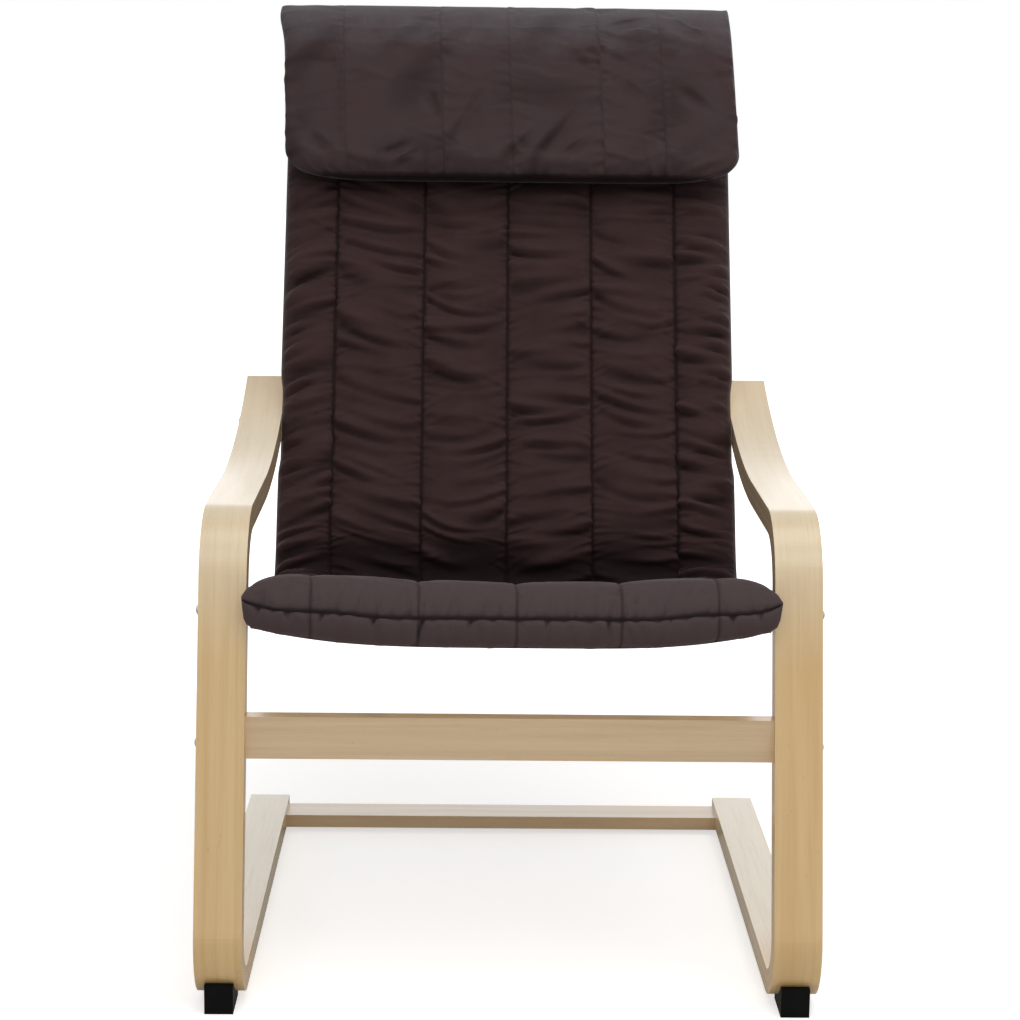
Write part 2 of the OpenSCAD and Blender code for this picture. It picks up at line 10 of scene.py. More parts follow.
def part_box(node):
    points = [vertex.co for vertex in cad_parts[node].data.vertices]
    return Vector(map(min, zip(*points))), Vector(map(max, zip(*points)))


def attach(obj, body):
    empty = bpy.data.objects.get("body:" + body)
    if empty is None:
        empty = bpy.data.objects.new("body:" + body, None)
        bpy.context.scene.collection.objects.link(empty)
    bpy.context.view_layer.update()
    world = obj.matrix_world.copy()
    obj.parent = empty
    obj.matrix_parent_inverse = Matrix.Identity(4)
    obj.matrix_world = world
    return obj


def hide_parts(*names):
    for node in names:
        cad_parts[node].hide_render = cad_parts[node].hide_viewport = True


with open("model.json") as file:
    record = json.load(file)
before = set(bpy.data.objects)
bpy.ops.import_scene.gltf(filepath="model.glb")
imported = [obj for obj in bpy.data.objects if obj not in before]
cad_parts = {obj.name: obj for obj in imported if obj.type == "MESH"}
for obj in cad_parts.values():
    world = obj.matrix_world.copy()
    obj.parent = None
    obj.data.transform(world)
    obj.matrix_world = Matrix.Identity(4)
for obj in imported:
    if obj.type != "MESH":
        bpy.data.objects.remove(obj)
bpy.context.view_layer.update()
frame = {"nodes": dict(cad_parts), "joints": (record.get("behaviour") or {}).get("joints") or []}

# Camera, at the photograph's viewing angle
CAMERA_PLACE = Vector((-0.0425, -2.8664, 0.99376))
CAMERA_YAW = math.radians(-0.906)
CAMERA_PITCH = math.radians(10.534)
CAMERA_ROLL = math.radians(0.691)
CAMERA_LENS = 88.235
SENSOR = 36.0

# Seat rails in the side view, in metres and radians
SEAT_FALL = math.radians(15)
BACK_LEAN = math.radians(26)
RAIL_T = 0.024
RAIL_BEND_R = 0.118
RAIL_IN_X = 0.225

# Bent side frames in the side view; the letters C are centres of bends
LEG_LEAN = math.radians(13.6)
RUNNER_FALL = math.radians(0.2)
FLOOR_BEND_R = 0.066
ARM_BEND_R = 0.085
ARM_RISE_R = 0.9
FLOOR_C = (-0.34675, 0.0745)
ARM_C = (-0.24241, 0.425)
RISE_C = (-0.09475, 1.410)
PLY_T = 0.00325
LEG_MIDDLE_Z = 0.25

# Cushion: its seams, and its heights over the rails' face
CHANNEL = 0.108
SEAMS = tuple(CHANNEL * k for k in (-2, -1, 0, 1, 2))
SEAM_DRIFT_FRONT = (0.008, 0.011, 0.004, 0.004, -0.004)
SEAM_DRIFT_BACK = (0.005, 0.005, 0.0, -0.005, -0.010)
CROWN_MID = 0.020
CROWN_SIDE = 0.027
SEAM_DEPTH = 0.004
EDGE_H = 0.003
SEAT_PUFF = 0.0030
BACK_PUFF = 0.0045
COVERED_PUFF_LOSS = 0.002
EDGE_BULGE = 0.008
SEAT_BULGE_LOSS = 0.0055
# Its half widths, and the lengths along the rails where the legs and arms hold it
FREE_HALF = 0.2770
FRONT_HALF = 0.2795
HELD_HALF = 0.2742
FRONT_SHIFT = 0.0015
LEG_SPAN = (-0.030, 0.026)
ARM_SPAN = (-0.075, 0.060)
LEG_EASE = (0.007, 0.006)
ARM_EASE = 0.03
WIDE_FRONT_S = -0.012
WIDE_FRONT_EASE = 0.02
FRONT_SHIFT_EASE = 0.010
DRIFT_S = 0.05
DRIFT_EASE = 0.45
# Its rolled front with the border under the piping seam
ROLL_S = -0.014
ROLL_REACH = 0.032
ROLL_ARC = 0.052
PIPE_H = -0.021
SIDE_RISE = 0.006
SIDE_RISE_X = 0.13
SIDE_RISE_EASE = 0.086
CORNER_RISE = 0.012
CORNER_PULL = 0.012
PIPE_GROOVE = 0.003
PIPE_GROOVE_W = 0.003
BORDER_S = -0.026
BORDER_H = -0.050
BORDER_LIFT = 0.020
BORDER_EDGE = 0.005
DARTS = (-0.261, -0.238, -0.204, -0.152, -0.103, -0.051, 0.031, 0.094, 0.162, 0.228, 0.253)
DART_DEPTH = 0.0055
DART_W = 0.0026
DART_START = 0.004
DART_REACH = (0.010, 0.030)
BORDER_BULGE = 0.0035
# The crease between seat and back, with a bulge on each side
CREASE_S = 0.395
CREASE_DEPTH = 0.032
CREASE_W = 0.034
BULGE_H = 0.008
BULGE_AWAY = 0.095
BULGE_W = 0.050
# Its underside on the slats and rails, and its thinner top end
BED_MID = -0.0242
BED_SIDE = 0.001
BED_SLOPE_LOSS = 0.006
BED_RAIL_IN = 0.022
BED_EASE = 0.020
SLAT_FRONT_S = -0.0185
SLAT_SPAN = (-0.008, 0.012, 0.030)
SIDE_EDGE = 0.014
END_ROUND = 0.030
TOP_EDGE_H = 0.021
TOP_TAPER = 0.070
TOP_REACH = 0.0083
# The part of it under the flap
COVERED_L = 0.27
COVERED_EASE = 0.05

# Folds: each channel's lean, sag and gain, then sizes and pitches
FOLD_LEAN = (0.30, -0.22, 0.0, 0.04, -0.12, -0.14)
FOLD_SAG = (0.0, 0.12, 0.26, 0.10, 0.16, 0.05)
FOLD_GAIN = (1.45, 1.05, 1.05, 1.0, 1.05, 1.45)
FOLD_SIZE = 0.0040
FOLD_PITCH = 0.020
BROAD_FOLD_SIZE = 0.0032
BROAD_FOLD_PITCH = 0.050
BROAD_FOLD_S = 0.38
FOLD_START = 0.02
FOLD_END = 0.05
FOLD_EARLY = 0.05
PUCKER_SIZE = 0.0022
PUCKER_PITCH = 0.010
PUCKER_START = 0.003
PUCKER_REACH = (0.008, 0.030)
FRONT_PUCKER_SIZE = 0.0014
FRONT_PUCKER_PITCH = 0.014
GATHER_SIZE = 0.0026
GATHER_PITCH = 0.022
RIM_CALM = 0.012
GRID = 0.0047

# Painted shade, as depths that darken the cloth's colour without moving it; a fold dip of the first
# depth is fully shaded. The others are at the piping seam, in the crease, under the flap, and on the
# flap's hem and underside
FULL_SHADE_DEPTH = 0.0042
PIPE_SHADE = 0.0030
PIPE_SHADE_W = 0.0025
CREASE_SHADE = 0.0085
CREASE_SHADE_S = 0.405
CREASE_SHADE_W = 0.033
COVERED_SHADE = 0.0026
COVERED_SHADE_RIM = 0.010
COVERED_SHADE_W = 0.014
HEM_SHADE = 0.0022
HEM_SHADE_W = 0.006
UNDERSIDE_SHADE = 0.0042
UNDERSIDE_SHADE_T = 0.19
UNDERSIDE_SHADE_W = 0.03

# Head flap
FLAP_T = 0.056
FLAP_L = 0.241
FLAP_ROOT = 0.128
FLAP_END = 0.040
FLAP_HALF = 0.2805
FLAP_CORNER_W = 0.056
FLAP_CORNER_H = 0.036
FLAP_EAR = 0.006
FLAP_TIP = 0.003
FLAP_EAR_T = 0.012
FLAP_EAR_W = 0.030
FLAP_TIP_W = 0.02
FLAP_SWING = 0.009
FLAP_CLEAR = 0.0018
FLAP_SEAM_DIP = 0.10
FLAP_CAP_ROWS = 10
FLAP_HELD_T = 0.02
FLAP_SEAM_TURN = math.radians(21)
FLAP_HEM_T = FLAP_L - FLAP_END * (1 - math.cos(FLAP_SEAM_TURN))
FLAP_SEAMS = (-0.205, -0.085, 0.0, 0.112, 0.188)
# Strokes of its strong folds: two ends across and down the flap, a width and a height
FLAP_FOLDS = (((-0.165, 0.228), (-0.112, 0.196), 0.0060, 0.0028),
              ((-0.150, 0.236), (-0.104, 0.210), 0.0050, 0.0022),
              ((-0.070, 0.215), (-0.020, 0.120), 0.0100, 0.0026),
              ((-0.010, 0.236), (0.045, 0.170), 0.0075, 0.0028),
              ((0.030, 0.236), (0.100, 0.140), 0.0085, 0.0030),
              ((0.060, 0.225), (0.108, 0.185), 0.0060, 0.0022),
              ((-0.110, 0.130), (-0.088, 0.180), 0.0070, 0.0018),
              ((0.120, 0.045), (0.190, 0.022), 0.0060, 0.0024),
              ((0.195, 0.030), (0.250, 0.060), 0.0070, 0.0022),
              ((0.125, 0.120), (0.170, 0.145), 0.0080, 0.0016),
              ((0.200, 0.130), (0.262, 0.160), 0.0070, 0.0018),
              ((0.262, 0.200), (0.205, 0.232), 0.0070, 0.0022),
              ((-0.260, 0.190), (-0.215, 0.226), 0.0080, 0.0020),
              ((0.070, 0.075), (0.112, 0.110), 0.0070, 0.0016))
FLAP_FOLD_GAIN = 1.5
FLAP_SLACK = 0.0018
FLAP_SLACK_EASE = 0.05
# Pitch and size of its puckers
FLAP_PUCKERS = (0.014, 0.0013)
STRONG_PUCKERS = (0.018, 0.0026)
SIDE_PUCKERS = (0.024, 0.0022)
HEM_PUCKERS = (0.018, 0.0020)
# Its seam roll, which turns about the hinge
SEAM_ROLL_R = 0.008
SEAM_H = 0.024

# Rounding of the edges of wood and plastic
FRAME_EDGE = 0.0030
RAIL_EDGE = 0.0018
BAR_EDGE = 0.0014
SLAT_EDGE = 0.0012
FOOT_EDGE = 0.0022

nodes = frame["nodes"]


def centre_of(name):
    low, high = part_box(name)
    return (low + high) / 2


# Materials

def add(tree, kind, inputs=None, **settings):
    """A shader node with its settings, and with values or links on its inputs."""
    node = tree.nodes.new(kind)
    for key, value in settings.items():
        setattr(node, key, value)
    for key, value in (inputs or {}).items():
        if isinstance(value, bpy.types.NodeSocket):
            tree.links.new(value, node.inputs[key])
        else:
            node.inputs[key].default_value = value
    return node


def maths(tree, operation, *values):
    node = add(tree, "ShaderNodeMath", dict(enumerate(values)), operation=operation)
    return node.outputs[0]


def vector_maths(tree, operation, *values, out="Vector"):
    node = add(tree, "ShaderNodeVectorMath", dict(enumerate(values)), operation=operation)
    return node.outputs[out]


def mix_colour(tree, factor, a, b):
    node = add(tree, "ShaderNodeMix", data_type="RGBA")
    for socket, value in ((node.inputs[0], factor), (node.inputs[6], a), (node.inputs[7], b)):
        if isinstance(value, bpy.types.NodeSocket):
            tree.links.new(value, socket)
        else:
            socket.default_value = value
    return node.outputs[2]


def noise(tree, place, scale, detail=3.0, distortion=0.0, rough=0.5):
    node = add(tree, "ShaderNodeTexNoise",
               {"Vector": place, "Scale": scale, "Detail": detail, "Roughness": rough,
                "Distortion": distortion})
    return node.outputs["Fac"]


def remap(tree, value, low, high, to_low=0.0, to_high=1.0):
    node = add(tree, "ShaderNodeMapRange",
               {"Value": value, "From Min": low, "From Max": high, "To Min": to_low,
                "To Max": to_high})
    return node.outputs[0]


def srgb(red, green, blue):
    """A colour given in sRGB from 0 to 255, as linear values."""
    def linear(v):
        v = v / 255
        return v / 12.92 if v <= 0.04045 else ((v + 0.055) / 1.055) ** 2.4
    return (linear(red), linear(green), linear(blue), 1.0)


def new_material(name, **values):
    material = bpy.data.materials.new(name)
    material.use_nodes = True
    shader = material.node_tree.nodes["Principled BSDF"]
    for key, value in values.items():
        shader.inputs[key.replace("_", " ")].default_value = value
    return material, material.node_tree, shader


def object_place(tree):
    return add(tree, "ShaderNodeTexCoord").outputs["Object"]


def stretched(tree, place, scale):
    return vector_maths(tree, "MULTIPLY", place, scale)


def ray_distance(tree, offset, direction):
    """Distance of a point from a ray that starts at the origin of offset."""
    along = vector_maths(tree, "DOT_PRODUCT", offset, direction, out="Value")
    reach = maths(tree, "MAXIMUM", along, 0.0)
    node = add(tree, "ShaderNodeVectorMath", {0: direction, "Scale": reach}, operation="SCALE")
    rest = vector_maths(tree, "SUBTRACT", offset, node.outputs[0])
    return vector_maths(tree, "LENGTH", rest, out="Value")


def bend_distance(tree, place, centre, ways):
    """Distance in the side view from the two straight lines that start at a bend's centre."""
    flat = stretched(tree, place, (0, 1, 1))
    offset = vector_maths(tree, "SUBTRACT", flat, (0, *centre))
    first, second = (ray_distance(tree, offset, (0, math.cos(a), math.sin(a))) for a in ways)
    return maths(tree, "MINIMUM", first, second)


def frame_depth(tree, place):
    """Depth in a bent side frame below its outer face."""
    leg = math.pi / 2 - LEG_LEAN
    low = maths(tree, "SUBTRACT", FLOOR_BEND_R,
                bend_distance(tree, place, FLOOR_C, (leg, -RUNNER_FALL)))
    high = maths(tree, "SUBTRACT", ARM_BEND_R,
                 bend_distance(tree, place, ARM_C, (leg + math.pi, 0.0)))
    flat = stretched(tree, place, (0, 1, 1))
    from_rise = vector_maths(tree, "DISTANCE", flat, (0, *RISE_C), out="Value")
    rise = maths(tree, "SUBTRACT", from_rise, ARM_RISE_R)
    split = add(tree, "ShaderNodeSeparateXYZ", {0: place})
    is_rise = maths(tree, "GREATER_THAN", split.outputs["Y"], RISE_C[0])
    is_high = maths(tree, "GREATER_THAN", split.outputs["Z"], LEG_MIDDLE_Z)
    above = add(tree, "ShaderNodeMix", {0: is_rise, 2: high, 3: rise}).outputs[0]
    return add(tree, "ShaderNodeMix", {0: is_high, 2: low, 3: above}).outputs[0]


def rail_depth(tree, place):
    """Depth in a seat rail below its sitting face."""
    ways = (math.pi - SEAT_FALL, math.pi / 2 - BACK_LEAN)
    away = bend_distance(tree, place, tuple(rail.bend_c), ways)
    return maths(tree, "SUBTRACT", away, RAIL_BEND_R)


FRAME_TINTS = (srgb(232, 197, 140), srgb(222, 183, 124), srgb(196, 152, 92))
BAR_TINTS = (srgb(231, 203, 163), srgb(219, 188, 148), srgb(192, 154, 114))
DOWEL_TINTS = (srgb(214, 186, 146), srgb(200, 168, 128), srgb(172, 136, 98))
# Painted highlight colour for the arms and the runners' tops
WOOD_PAINTED_HIGHLIGHT = srgb(246, 234, 206)
WOOD_FLECK = srgb(150, 108, 66)
GLUE = srgb(128, 92, 58)
BEND_HIGHLIGHT_Z = (0.36, 0.47)
RUNNER_HIGHLIGHT_Y = (-0.34, -0.22)
RUNNER_Z = 0.2
ARM_HIGHLIGHT = 0.55
RUNNER_HIGHLIGHT = 0.85


def painted_highlight_veneer(tree, place):
    """Painted highlight: the side frames' veneer is made lighter on the arms and on the runners than on
    the legs, standing in for the light on their tops and bends.
    """
    split = add(tree, "ShaderNodeSeparateXYZ", {0: place})
    arms = remap(tree, split.outputs["Z"], *BEND_HIGHLIGHT_Z, 0.0, ARM_HIGHLIGHT)
    low = maths(tree, "LESS_THAN", split.outputs["Z"], RUNNER_Z)
    runners = remap(tree, split.outputs["Y"], *RUNNER_HIGHLIGHT_Y, 0.0, RUNNER_HIGHLIGHT)
    return maths(tree, "MAXIMUM", arms, maths(tree, "MULTIPLY", low, runners))


def birch(name, along, tints, depth=None, painted_highlight=None):
    """Lacquered birch. along scales the place so that the grain runs the long way."""
    light, mid, dark = tints
    material, tree, shader = new_material(
        name, Roughness=0.45, Coat_Weight=1.0, Coat_Roughness=0.26)
    shader.inputs["Specular IOR Level"].default_value = 0.2
    place = object_place(tree)
    grain_place = stretched(tree, place, along)
    figure = noise(tree, grain_place, 26.0, detail=4.0, distortion=2.2)
    streaks = noise(tree, grain_place, 260.0, detail=5.0, rough=0.65)
    hairs = noise(tree, grain_place, 1500.0, detail=2.0)
    flecks = noise(tree, stretched(tree, place, tuple(0.25 + 0.75 * v for v in along)), 420.0)
    tint = mix_colour(tree, remap(tree, figure, 0.38, 0.66), light, mid)
    # Painted highlight on the arms and the runners
    if painted_highlight is not None:
        tint = mix_colour(tree, painted_highlight(tree, place), tint, WOOD_PAINTED_HIGHLIGHT)
    tint = mix_colour(tree, remap(tree, streaks, 0.50, 0.78, 0.0, 0.20), tint, dark)
    tint = mix_colour(tree, remap(tree, hairs, 0.52, 0.80, 0.0, 0.14), tint, dark)
    tint = mix_colour(tree, remap(tree, flecks, 0.71, 0.77, 0.0, 0.30), tint, WOOD_FLECK)
    if depth is not None:
        layer = maths(tree, "DIVIDE", depth(tree, place), PLY_T)
        near = maths(tree, "PINGPONG", layer, 0.5)
        line = remap(tree, near, 0.02, 0.09, 1.0, 0.0)
        ply = maths(tree, "FLOOR", layer)
        shade = add(tree, "ShaderNodeTexWhiteNoise", {"W": ply}, noise_dimensions="1D")
        side = add(tree, "ShaderNodeSeparateXYZ",
                   {0: add(tree, "ShaderNodeNewGeometry").outputs["Normal"]})
        on_edge = remap(tree, maths(tree, "ABSOLUTE", side.outputs["X"]), 0.45, 0.85)
        plies = mix_colour(tree, maths(tree, "MULTIPLY", shade.outputs["Value"], 0.4), tint, dark)
        plies = mix_colour(tree, maths(tree, "MULTIPLY", line, 0.75), plies, GLUE)
        tint = mix_colour(tree, on_edge, tint, plies)
    tree.links.new(tint, shader.inputs["Base Color"])
    tree.links.new(remap(tree, streaks, 0.3, 0.8, 0.36, 0.50), shader.inputs["Roughness"])
    relief = add(tree, "ShaderNodeBump",
                 {"Height": maths(tree, "ADD", hairs, maths(tree, "MULTIPLY", streaks, 0.6)),
                  "Strength": 0.10, "Distance": 0.0006})
    tree.links.new(relief.outputs[0], shader.inputs["Normal"])
    return material


def brushed_steel(name, colour, roughness):
    material, tree, shader = new_material(name, Metallic=1.0, Roughness=roughness)
    place = object_place(tree)
    scuffs = noise(tree, place, 900.0, detail=4.0)
    tint = mix_colour(tree, remap(tree, scuffs, 0.4, 0.75, 0.0, 0.6), colour,
                      tuple(0.7 * v for v in colour[:3]) + (1.0,))
    tree.links.new(tint, shader.inputs["Base Color"])
    tree.links.new(remap(tree, scuffs, 0.3, 0.8, roughness - 0.08, roughness + 0.12),
                   shader.inputs["Roughness"])
    relief = add(tree, "ShaderNodeBump", {"Height": scuffs, "Strength": 0.12, "Distance": 0.0003})
    tree.links.new(relief.outputs[0], shader.inputs["Normal"])
    return material


def moulded_plastic(name):
    material, tree, shader = new_material(name, Roughness=0.5)
    shader.inputs["Specular IOR Level"].default_value = 0.10
    place = object_place(tree)
    grain = noise(tree, place, 1400.0, detail=3.0)
    dust = noise(tree, place, 70.0, detail=4.0)
    tint = mix_colour(tree, remap(tree, dust, 0.45, 0.75, 0.0, 0.7), srgb(6, 6, 6), srgb(13, 13, 13))
    tree.links.new(tint, shader.inputs["Base Color"])
    tree.links.new(remap(tree, grain, 0.3, 0.7, 0.42, 0.62), shader.inputs["Roughness"])
    relief = add(tree, "ShaderNodeBump", {"Height": grain, "Strength": 0.25, "Distance": 0.0004})
    tree.links.new(relief.outputs[0], shader.inputs["Normal"])
    return material


def weave_height(tree, across, along, pitch):
    """Height of a plain weave, from 0 to 1, with threads a pitch apart."""
    turn = 2 * math.pi / pitch
    warp = maths(tree, "SINE", maths(tree, "MULTIPLY", across, turn))
    weft = maths(tree, "SINE", maths(tree, "MULTIPLY", along, turn))
    return maths(tree, "MULTIPLY_ADD", maths(tree, "MULTIPLY", warp, weft), 0.5, 0.5)


CLOTH = srgb(60, 43, 42)
# Lighter cloth for random tone and slubs, and painted highlight on fold crests
CLOTH_LIGHT_AND_HIGHLIGHT = srgb(73, 54, 53)
# Dark of the weave between threads, and painted shade in seams, fold dips and the crease
CLOTH_WEAVE_AND_SHADE = srgb(22, 12, 12)
# Painted sheen on the seat's front roll and border
CLOTH_PAINTED_SHEEN = srgb(88, 75, 75)
# The flap's cloth, lighter and greyer than the cushion's as painted sheen
FLAP_CLOTH_PAINTED_SHEEN = srgb(71, 58, 59)
# Painted sheen towards the flap's top
FLAP_PAINTED_SHEEN = srgb(106, 101, 105)
STITCH = srgb(42, 27, 26)
WEAVE_PITCH = 0.0011
STITCH_PITCH = 0.0034
STITCH_HALF = 0.0007
SEAM_HALF = 0.0030
# Strength of the painted shade along the cross seams
CROSS_SEAM_SHADE = 0.85
WEBBING_PITCH = 0.0016
# Lengths over which the painted sheen fades out, and over which the painted shade along its seams gets
# stronger
CUSHION_SHEEN_SPAN = (0.12, 0.40)
FLAP_SHEEN_SPAN = (0.02, 0.11)
SEAM_SHADE_SPAN = (0.06, 0.25)
CUSHION_SEAM_SHADES = (0.45, 0.9)
FLAP_SEAM_SHADES = (0.12, 0.15)


def near_line(tree, value, line, half):
    """1 on a line and 0 beyond half of it."""
    away = maths(tree, "ABSOLUTE", maths(tree, "SUBTRACT", value, line))
    return remap(tree, away, 0.0, half, 1.0, 0.0)


def quilted_cloth(name, seams, cross_seams, base, sheen_colour, sheen_span, seam_shades):
    """Brown cotton with a plain weave, sewn along the seams of its pattern; it has painted sheen
    towards one end, painted shade along its seams and in the dips of its folds, and painted highlight
    on their crests.
    """
    material, tree, shader = new_material(
        name, Roughness=0.80, Sheen_Weight=0.24, Sheen_Roughness=0.30)
    shader.inputs["Sheen Tint"].default_value = srgb(215, 212, 215)
    shader.inputs["Specular IOR Level"].default_value = 0.12
    pattern = add(tree, "ShaderNodeUVMap", uv_map="pattern").outputs[0]
    split = add(tree, "ShaderNodeSeparateXYZ", {0: pattern})
    across, along = split.outputs["X"], split.outputs["Y"]
    weave = weave_height(tree, across, along, WEAVE_PITCH)
    slub = noise(tree, stretched(tree, pattern, (1.0, 0.06, 1.0)), 900.0, detail=3.0)
    fade = noise(tree, pattern, 22.0, detail=4.0, rough=0.6)
    place = maths(tree, "MULTIPLY_ADD", fade, 0.06, along)
    # Painted sheen towards the start of the pattern, with a noisy edge
    sheen_amount = remap(tree, place, *sheen_span, 1.0, 0.0)
    plain = mix_colour(tree, remap(tree, fade, 0.40, 0.72, 0.0, 0.6), base, CLOTH_LIGHT_AND_HIGHLIGHT)
    tint = mix_colour(tree, sheen_amount, plain, sheen_colour)
    tint = mix_colour(tree, remap(tree, slub, 0.52, 0.80, 0.0, 0.35), tint, CLOTH_LIGHT_AND_HIGHLIGHT)
    tint = mix_colour(tree, maths(tree, "MULTIPLY", weave, 0.22), tint, CLOTH_WEAVE_AND_SHADE)
    # Painted shade in fold dips, the crease, the piping seam and under the flap, and painted highlight
    # on fold crests
    painted_shade = add(tree, "ShaderNodeAttribute", attribute_name="painted_shade").outputs["Fac"]
    tint = mix_colour(tree, remap(tree, painted_shade, 0.0, 1.0, 0.0, 0.85), tint, CLOTH_WEAVE_AND_SHADE)
    tint = mix_colour(tree, remap(tree, painted_shade, 0.0, -1.0, 0.0, 0.35), tint, CLOTH_LIGHT_AND_HIGHLIGHT)
    # Painted shade along the seam grooves, stronger further along the pattern; the stitches keep the
    # thread's own colour
    seam_shade = remap(tree, along, *SEAM_SHADE_SPAN, *seam_shades)
    lines = [(across, along, x, seam_shade) for x in seams]
    lines += [(along, across, y, CROSS_SEAM_SHADE) for y in cross_seams]
    groove = None
    for value, other, line, strength in lines:
        one = near_line(tree, value, line, SEAM_HALF)
        stitch = maths(tree, "PINGPONG", maths(tree, "DIVIDE", other, STITCH_PITCH), 0.5)
        thread = maths(tree, "MULTIPLY", near_line(tree, value, line, STITCH_HALF),
                       remap(tree, stitch, 0.10, 0.16))
        tint = mix_colour(tree, maths(tree, "MULTIPLY", one, strength), tint, CLOTH_WEAVE_AND_SHADE)
        tint = mix_colour(tree, maths(tree, "MULTIPLY", thread, strength), tint, STITCH)
        groove = one if groove is None else maths(tree, "MAXIMUM", groove, one)
    tree.links.new(tint, shader.inputs["Base Color"])
    height = maths(tree, "MULTIPLY_ADD", weave, 0.35, maths(tree, "MULTIPLY", slub, 0.4))
    height = maths(tree, "SUBTRACT", height, maths(tree, "MULTIPLY", groove, 1.5))
    relief = add(tree, "ShaderNodeBump", {"Height": height, "Strength": 0.5, "Distance": 0.0005})
    tree.links.new(relief.outputs[0], shader.inputs["Normal"])
    return material


def webbing(name):
    material, tree, shader = new_material(name, Roughness=0.8, Sheen_Weight=0.2)
    place = object_place(tree)
    split = add(tree, "ShaderNodeSeparateXYZ", {0: place})
    weave = weave_height(tree, split.outputs["X"], maths(tree, "ADD", split.outputs["Y"],
                                                         split.outputs["Z"]), WEBBING_PITCH)
    tint = mix_colour(tree, weave, srgb(36, 27, 26), srgb(58, 44, 42))
    tree.links.new(tint, shader.inputs["Base Color"])
    relief = add(tree, "ShaderNodeBump", {"Height": weave, "Strength": 0.5, "Distance": 0.0006})
    tree.links.new(relief.outputs[0], shader.inputs["Normal"])
    return material


# The line that the seat rails and the cushion follow

def turned(angle):
    return np.array((math.cos(angle), math.sin(angle)))


def meet(n1, d1, n2, d2):
    return np.linalg.solve(np.array((n1, n2)), np.array((d1, d2)))


class RailLine:
    """The rail's middle line in the side view: seat, bend and back."""

    def __init__(self):
        self.bolt = np.array(centre_of("seat_rail_bolts")[1:])
        arm = np.array(centre_of("arm_bolts")[1:])
        self.bend_r = RAIL_BEND_R + RAIL_T / 2
        seat_up = turned(math.pi / 2 - SEAT_FALL)
        back_out = turned(math.pi - BACK_LEAN)
        self.bend_c = meet(seat_up, self.bend_r + seat_up @ self.bolt,
                           back_out, self.bend_r + back_out @ arm)
        self.bend_a = math.pi / 2 + SEAT_FALL - BACK_LEAN
        seat_end = self.bend_c - self.bend_r * seat_up
        self.back = self.bend_c - self.bend_r * back_out
        self.seat_l = (seat_end - self.bolt) @ turned(-SEAT_FALL)
        self.bend_l = self.bend_r * self.bend_a
        self.back_s = self.seat_l + self.bend_l

    def place(self, s, h):
        """Y and Z at the length s and at the height h over the sitting face."""
        s, h = np.broadcast_arrays(np.asarray(s, float), np.asarray(h, float))
        angle = -SEAT_FALL + self.bend_a * np.clip((s - self.seat_l) / self.bend_l, 0, 1)
        up = np.stack((-np.sin(angle), np.cos(angle)), -1)
        along = np.stack((np.cos(angle), np.sin(angle)), -1)
        seat = self.bolt + s[..., None] * along
        bend = self.bend_c - self.bend_r * up
        back = self.back + (s - self.back_s)[..., None] * along
        line = np.where((s < self.seat_l)[..., None], seat,
                        np.where((s < self.back_s)[..., None], bend, back))
        return line + (RAIL_T / 2 + h)[..., None] * up

    def length_at(self, y, z):
        """The length s of a point beside the back."""
        return self.back_s + (np.array((y, z)) - self.back) @ turned(math.pi / 2 - BACK_LEAN)


rail = RailLine()
hinge_place = frame["joints"][0]["pos_m"]
seam_s = rail.length_at(*hinge_place[1:])
cushion_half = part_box("long_cushion")[1].x
cushion_end = seam_s - math.sqrt(TOP_REACH ** 2 - (SEAM_H - TOP_EDGE_H) ** 2)
flap_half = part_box("head_flap")[1].x


def points(x, s, h):
    """Points in the frame from a place across, a length and a height."""
    x, s, h = np.broadcast_arrays(x, s, h)
    side = rail.place(s, h)
    return np.concatenate((x[..., None], side), -1)


# Soft pieces: two sheets of cloth, sewn together round their rim

def eased(t):
    t = np.clip(t, 0, 1)
    return t * t * (3 - 2 * t)


def seam_columns(lines, half, step):
    """Places across the pattern, closer together at the seams."""
    places = [-half]
    for a, b in zip((-half, *lines), (*lines, half)):
        count = max(4, round((b - a) / step))
        t = np.arange(1, count + 1) / count
        places.extend(a + (b - a) * (t - 0.06 * np.sin(2 * math.pi * t)))
    return np.array(places)


def puff(x, lines):
    """Height of the padding between its seams, from 0 to 1."""
    height = np.zeros_like(x)
    for a, b in zip(lines[:-1], lines[1:]):
        t = np.clip(2 * (x - a) / (b - a) - 1, -1, 1)
        height += (1 - np.abs(t) ** 2.6) ** 0.6
    return height


def ridge(z):
    """Section of a fold: a crest with a trough under it."""
    return np.exp(-z * z) - 0.85 * np.exp(-(z + 1.3) ** 2 / 0.5)


def hanging_folds(across, along, lines, start, end, pitch, size, seed):
    """Cross folds that hang between the seams; each channel has its lean and sag."""
    chance = random.Random(seed)
    height = np.zeros_like(across)
    for k, (a, b) in enumerate(zip(lines[:-1], lines[1:])):
        half = (b - a) / 2
        t = (across - a) / half - 1
        inside = (np.abs(t) <= 1).astype(float)
        place = start + pitch * chance.random()
        while place < end:
            width = pitch * chance.uniform(0.24, 0.40)
            middle = chance.choice((-0.85, -0.6, -0.1, 0.5, 0.85))
            reach = chance.uniform(0.5, 1.25)
            slope = half * (FOLD_LEAN[k] + chance.uniform(-0.16, 0.16))
            hang = half * (FOLD_SAG[k] + chance.uniform(-0.10, 0.12))
            curl = half * chance.uniform(-0.10, 0.10)
            z = (along - place - slope * t - hang * t * t - curl * t ** 3) / width
            fade = np.exp(-((t - middle) / reach) ** 2) * np.clip((1 - t * t) * 6, 0, 1)
            height += chance.uniform(0.35, 1.25) * size * FOLD_GAIN[k] * ridge(z) * fade * inside
            place += pitch * chance.uniform(0.6, 1.5)
    return height


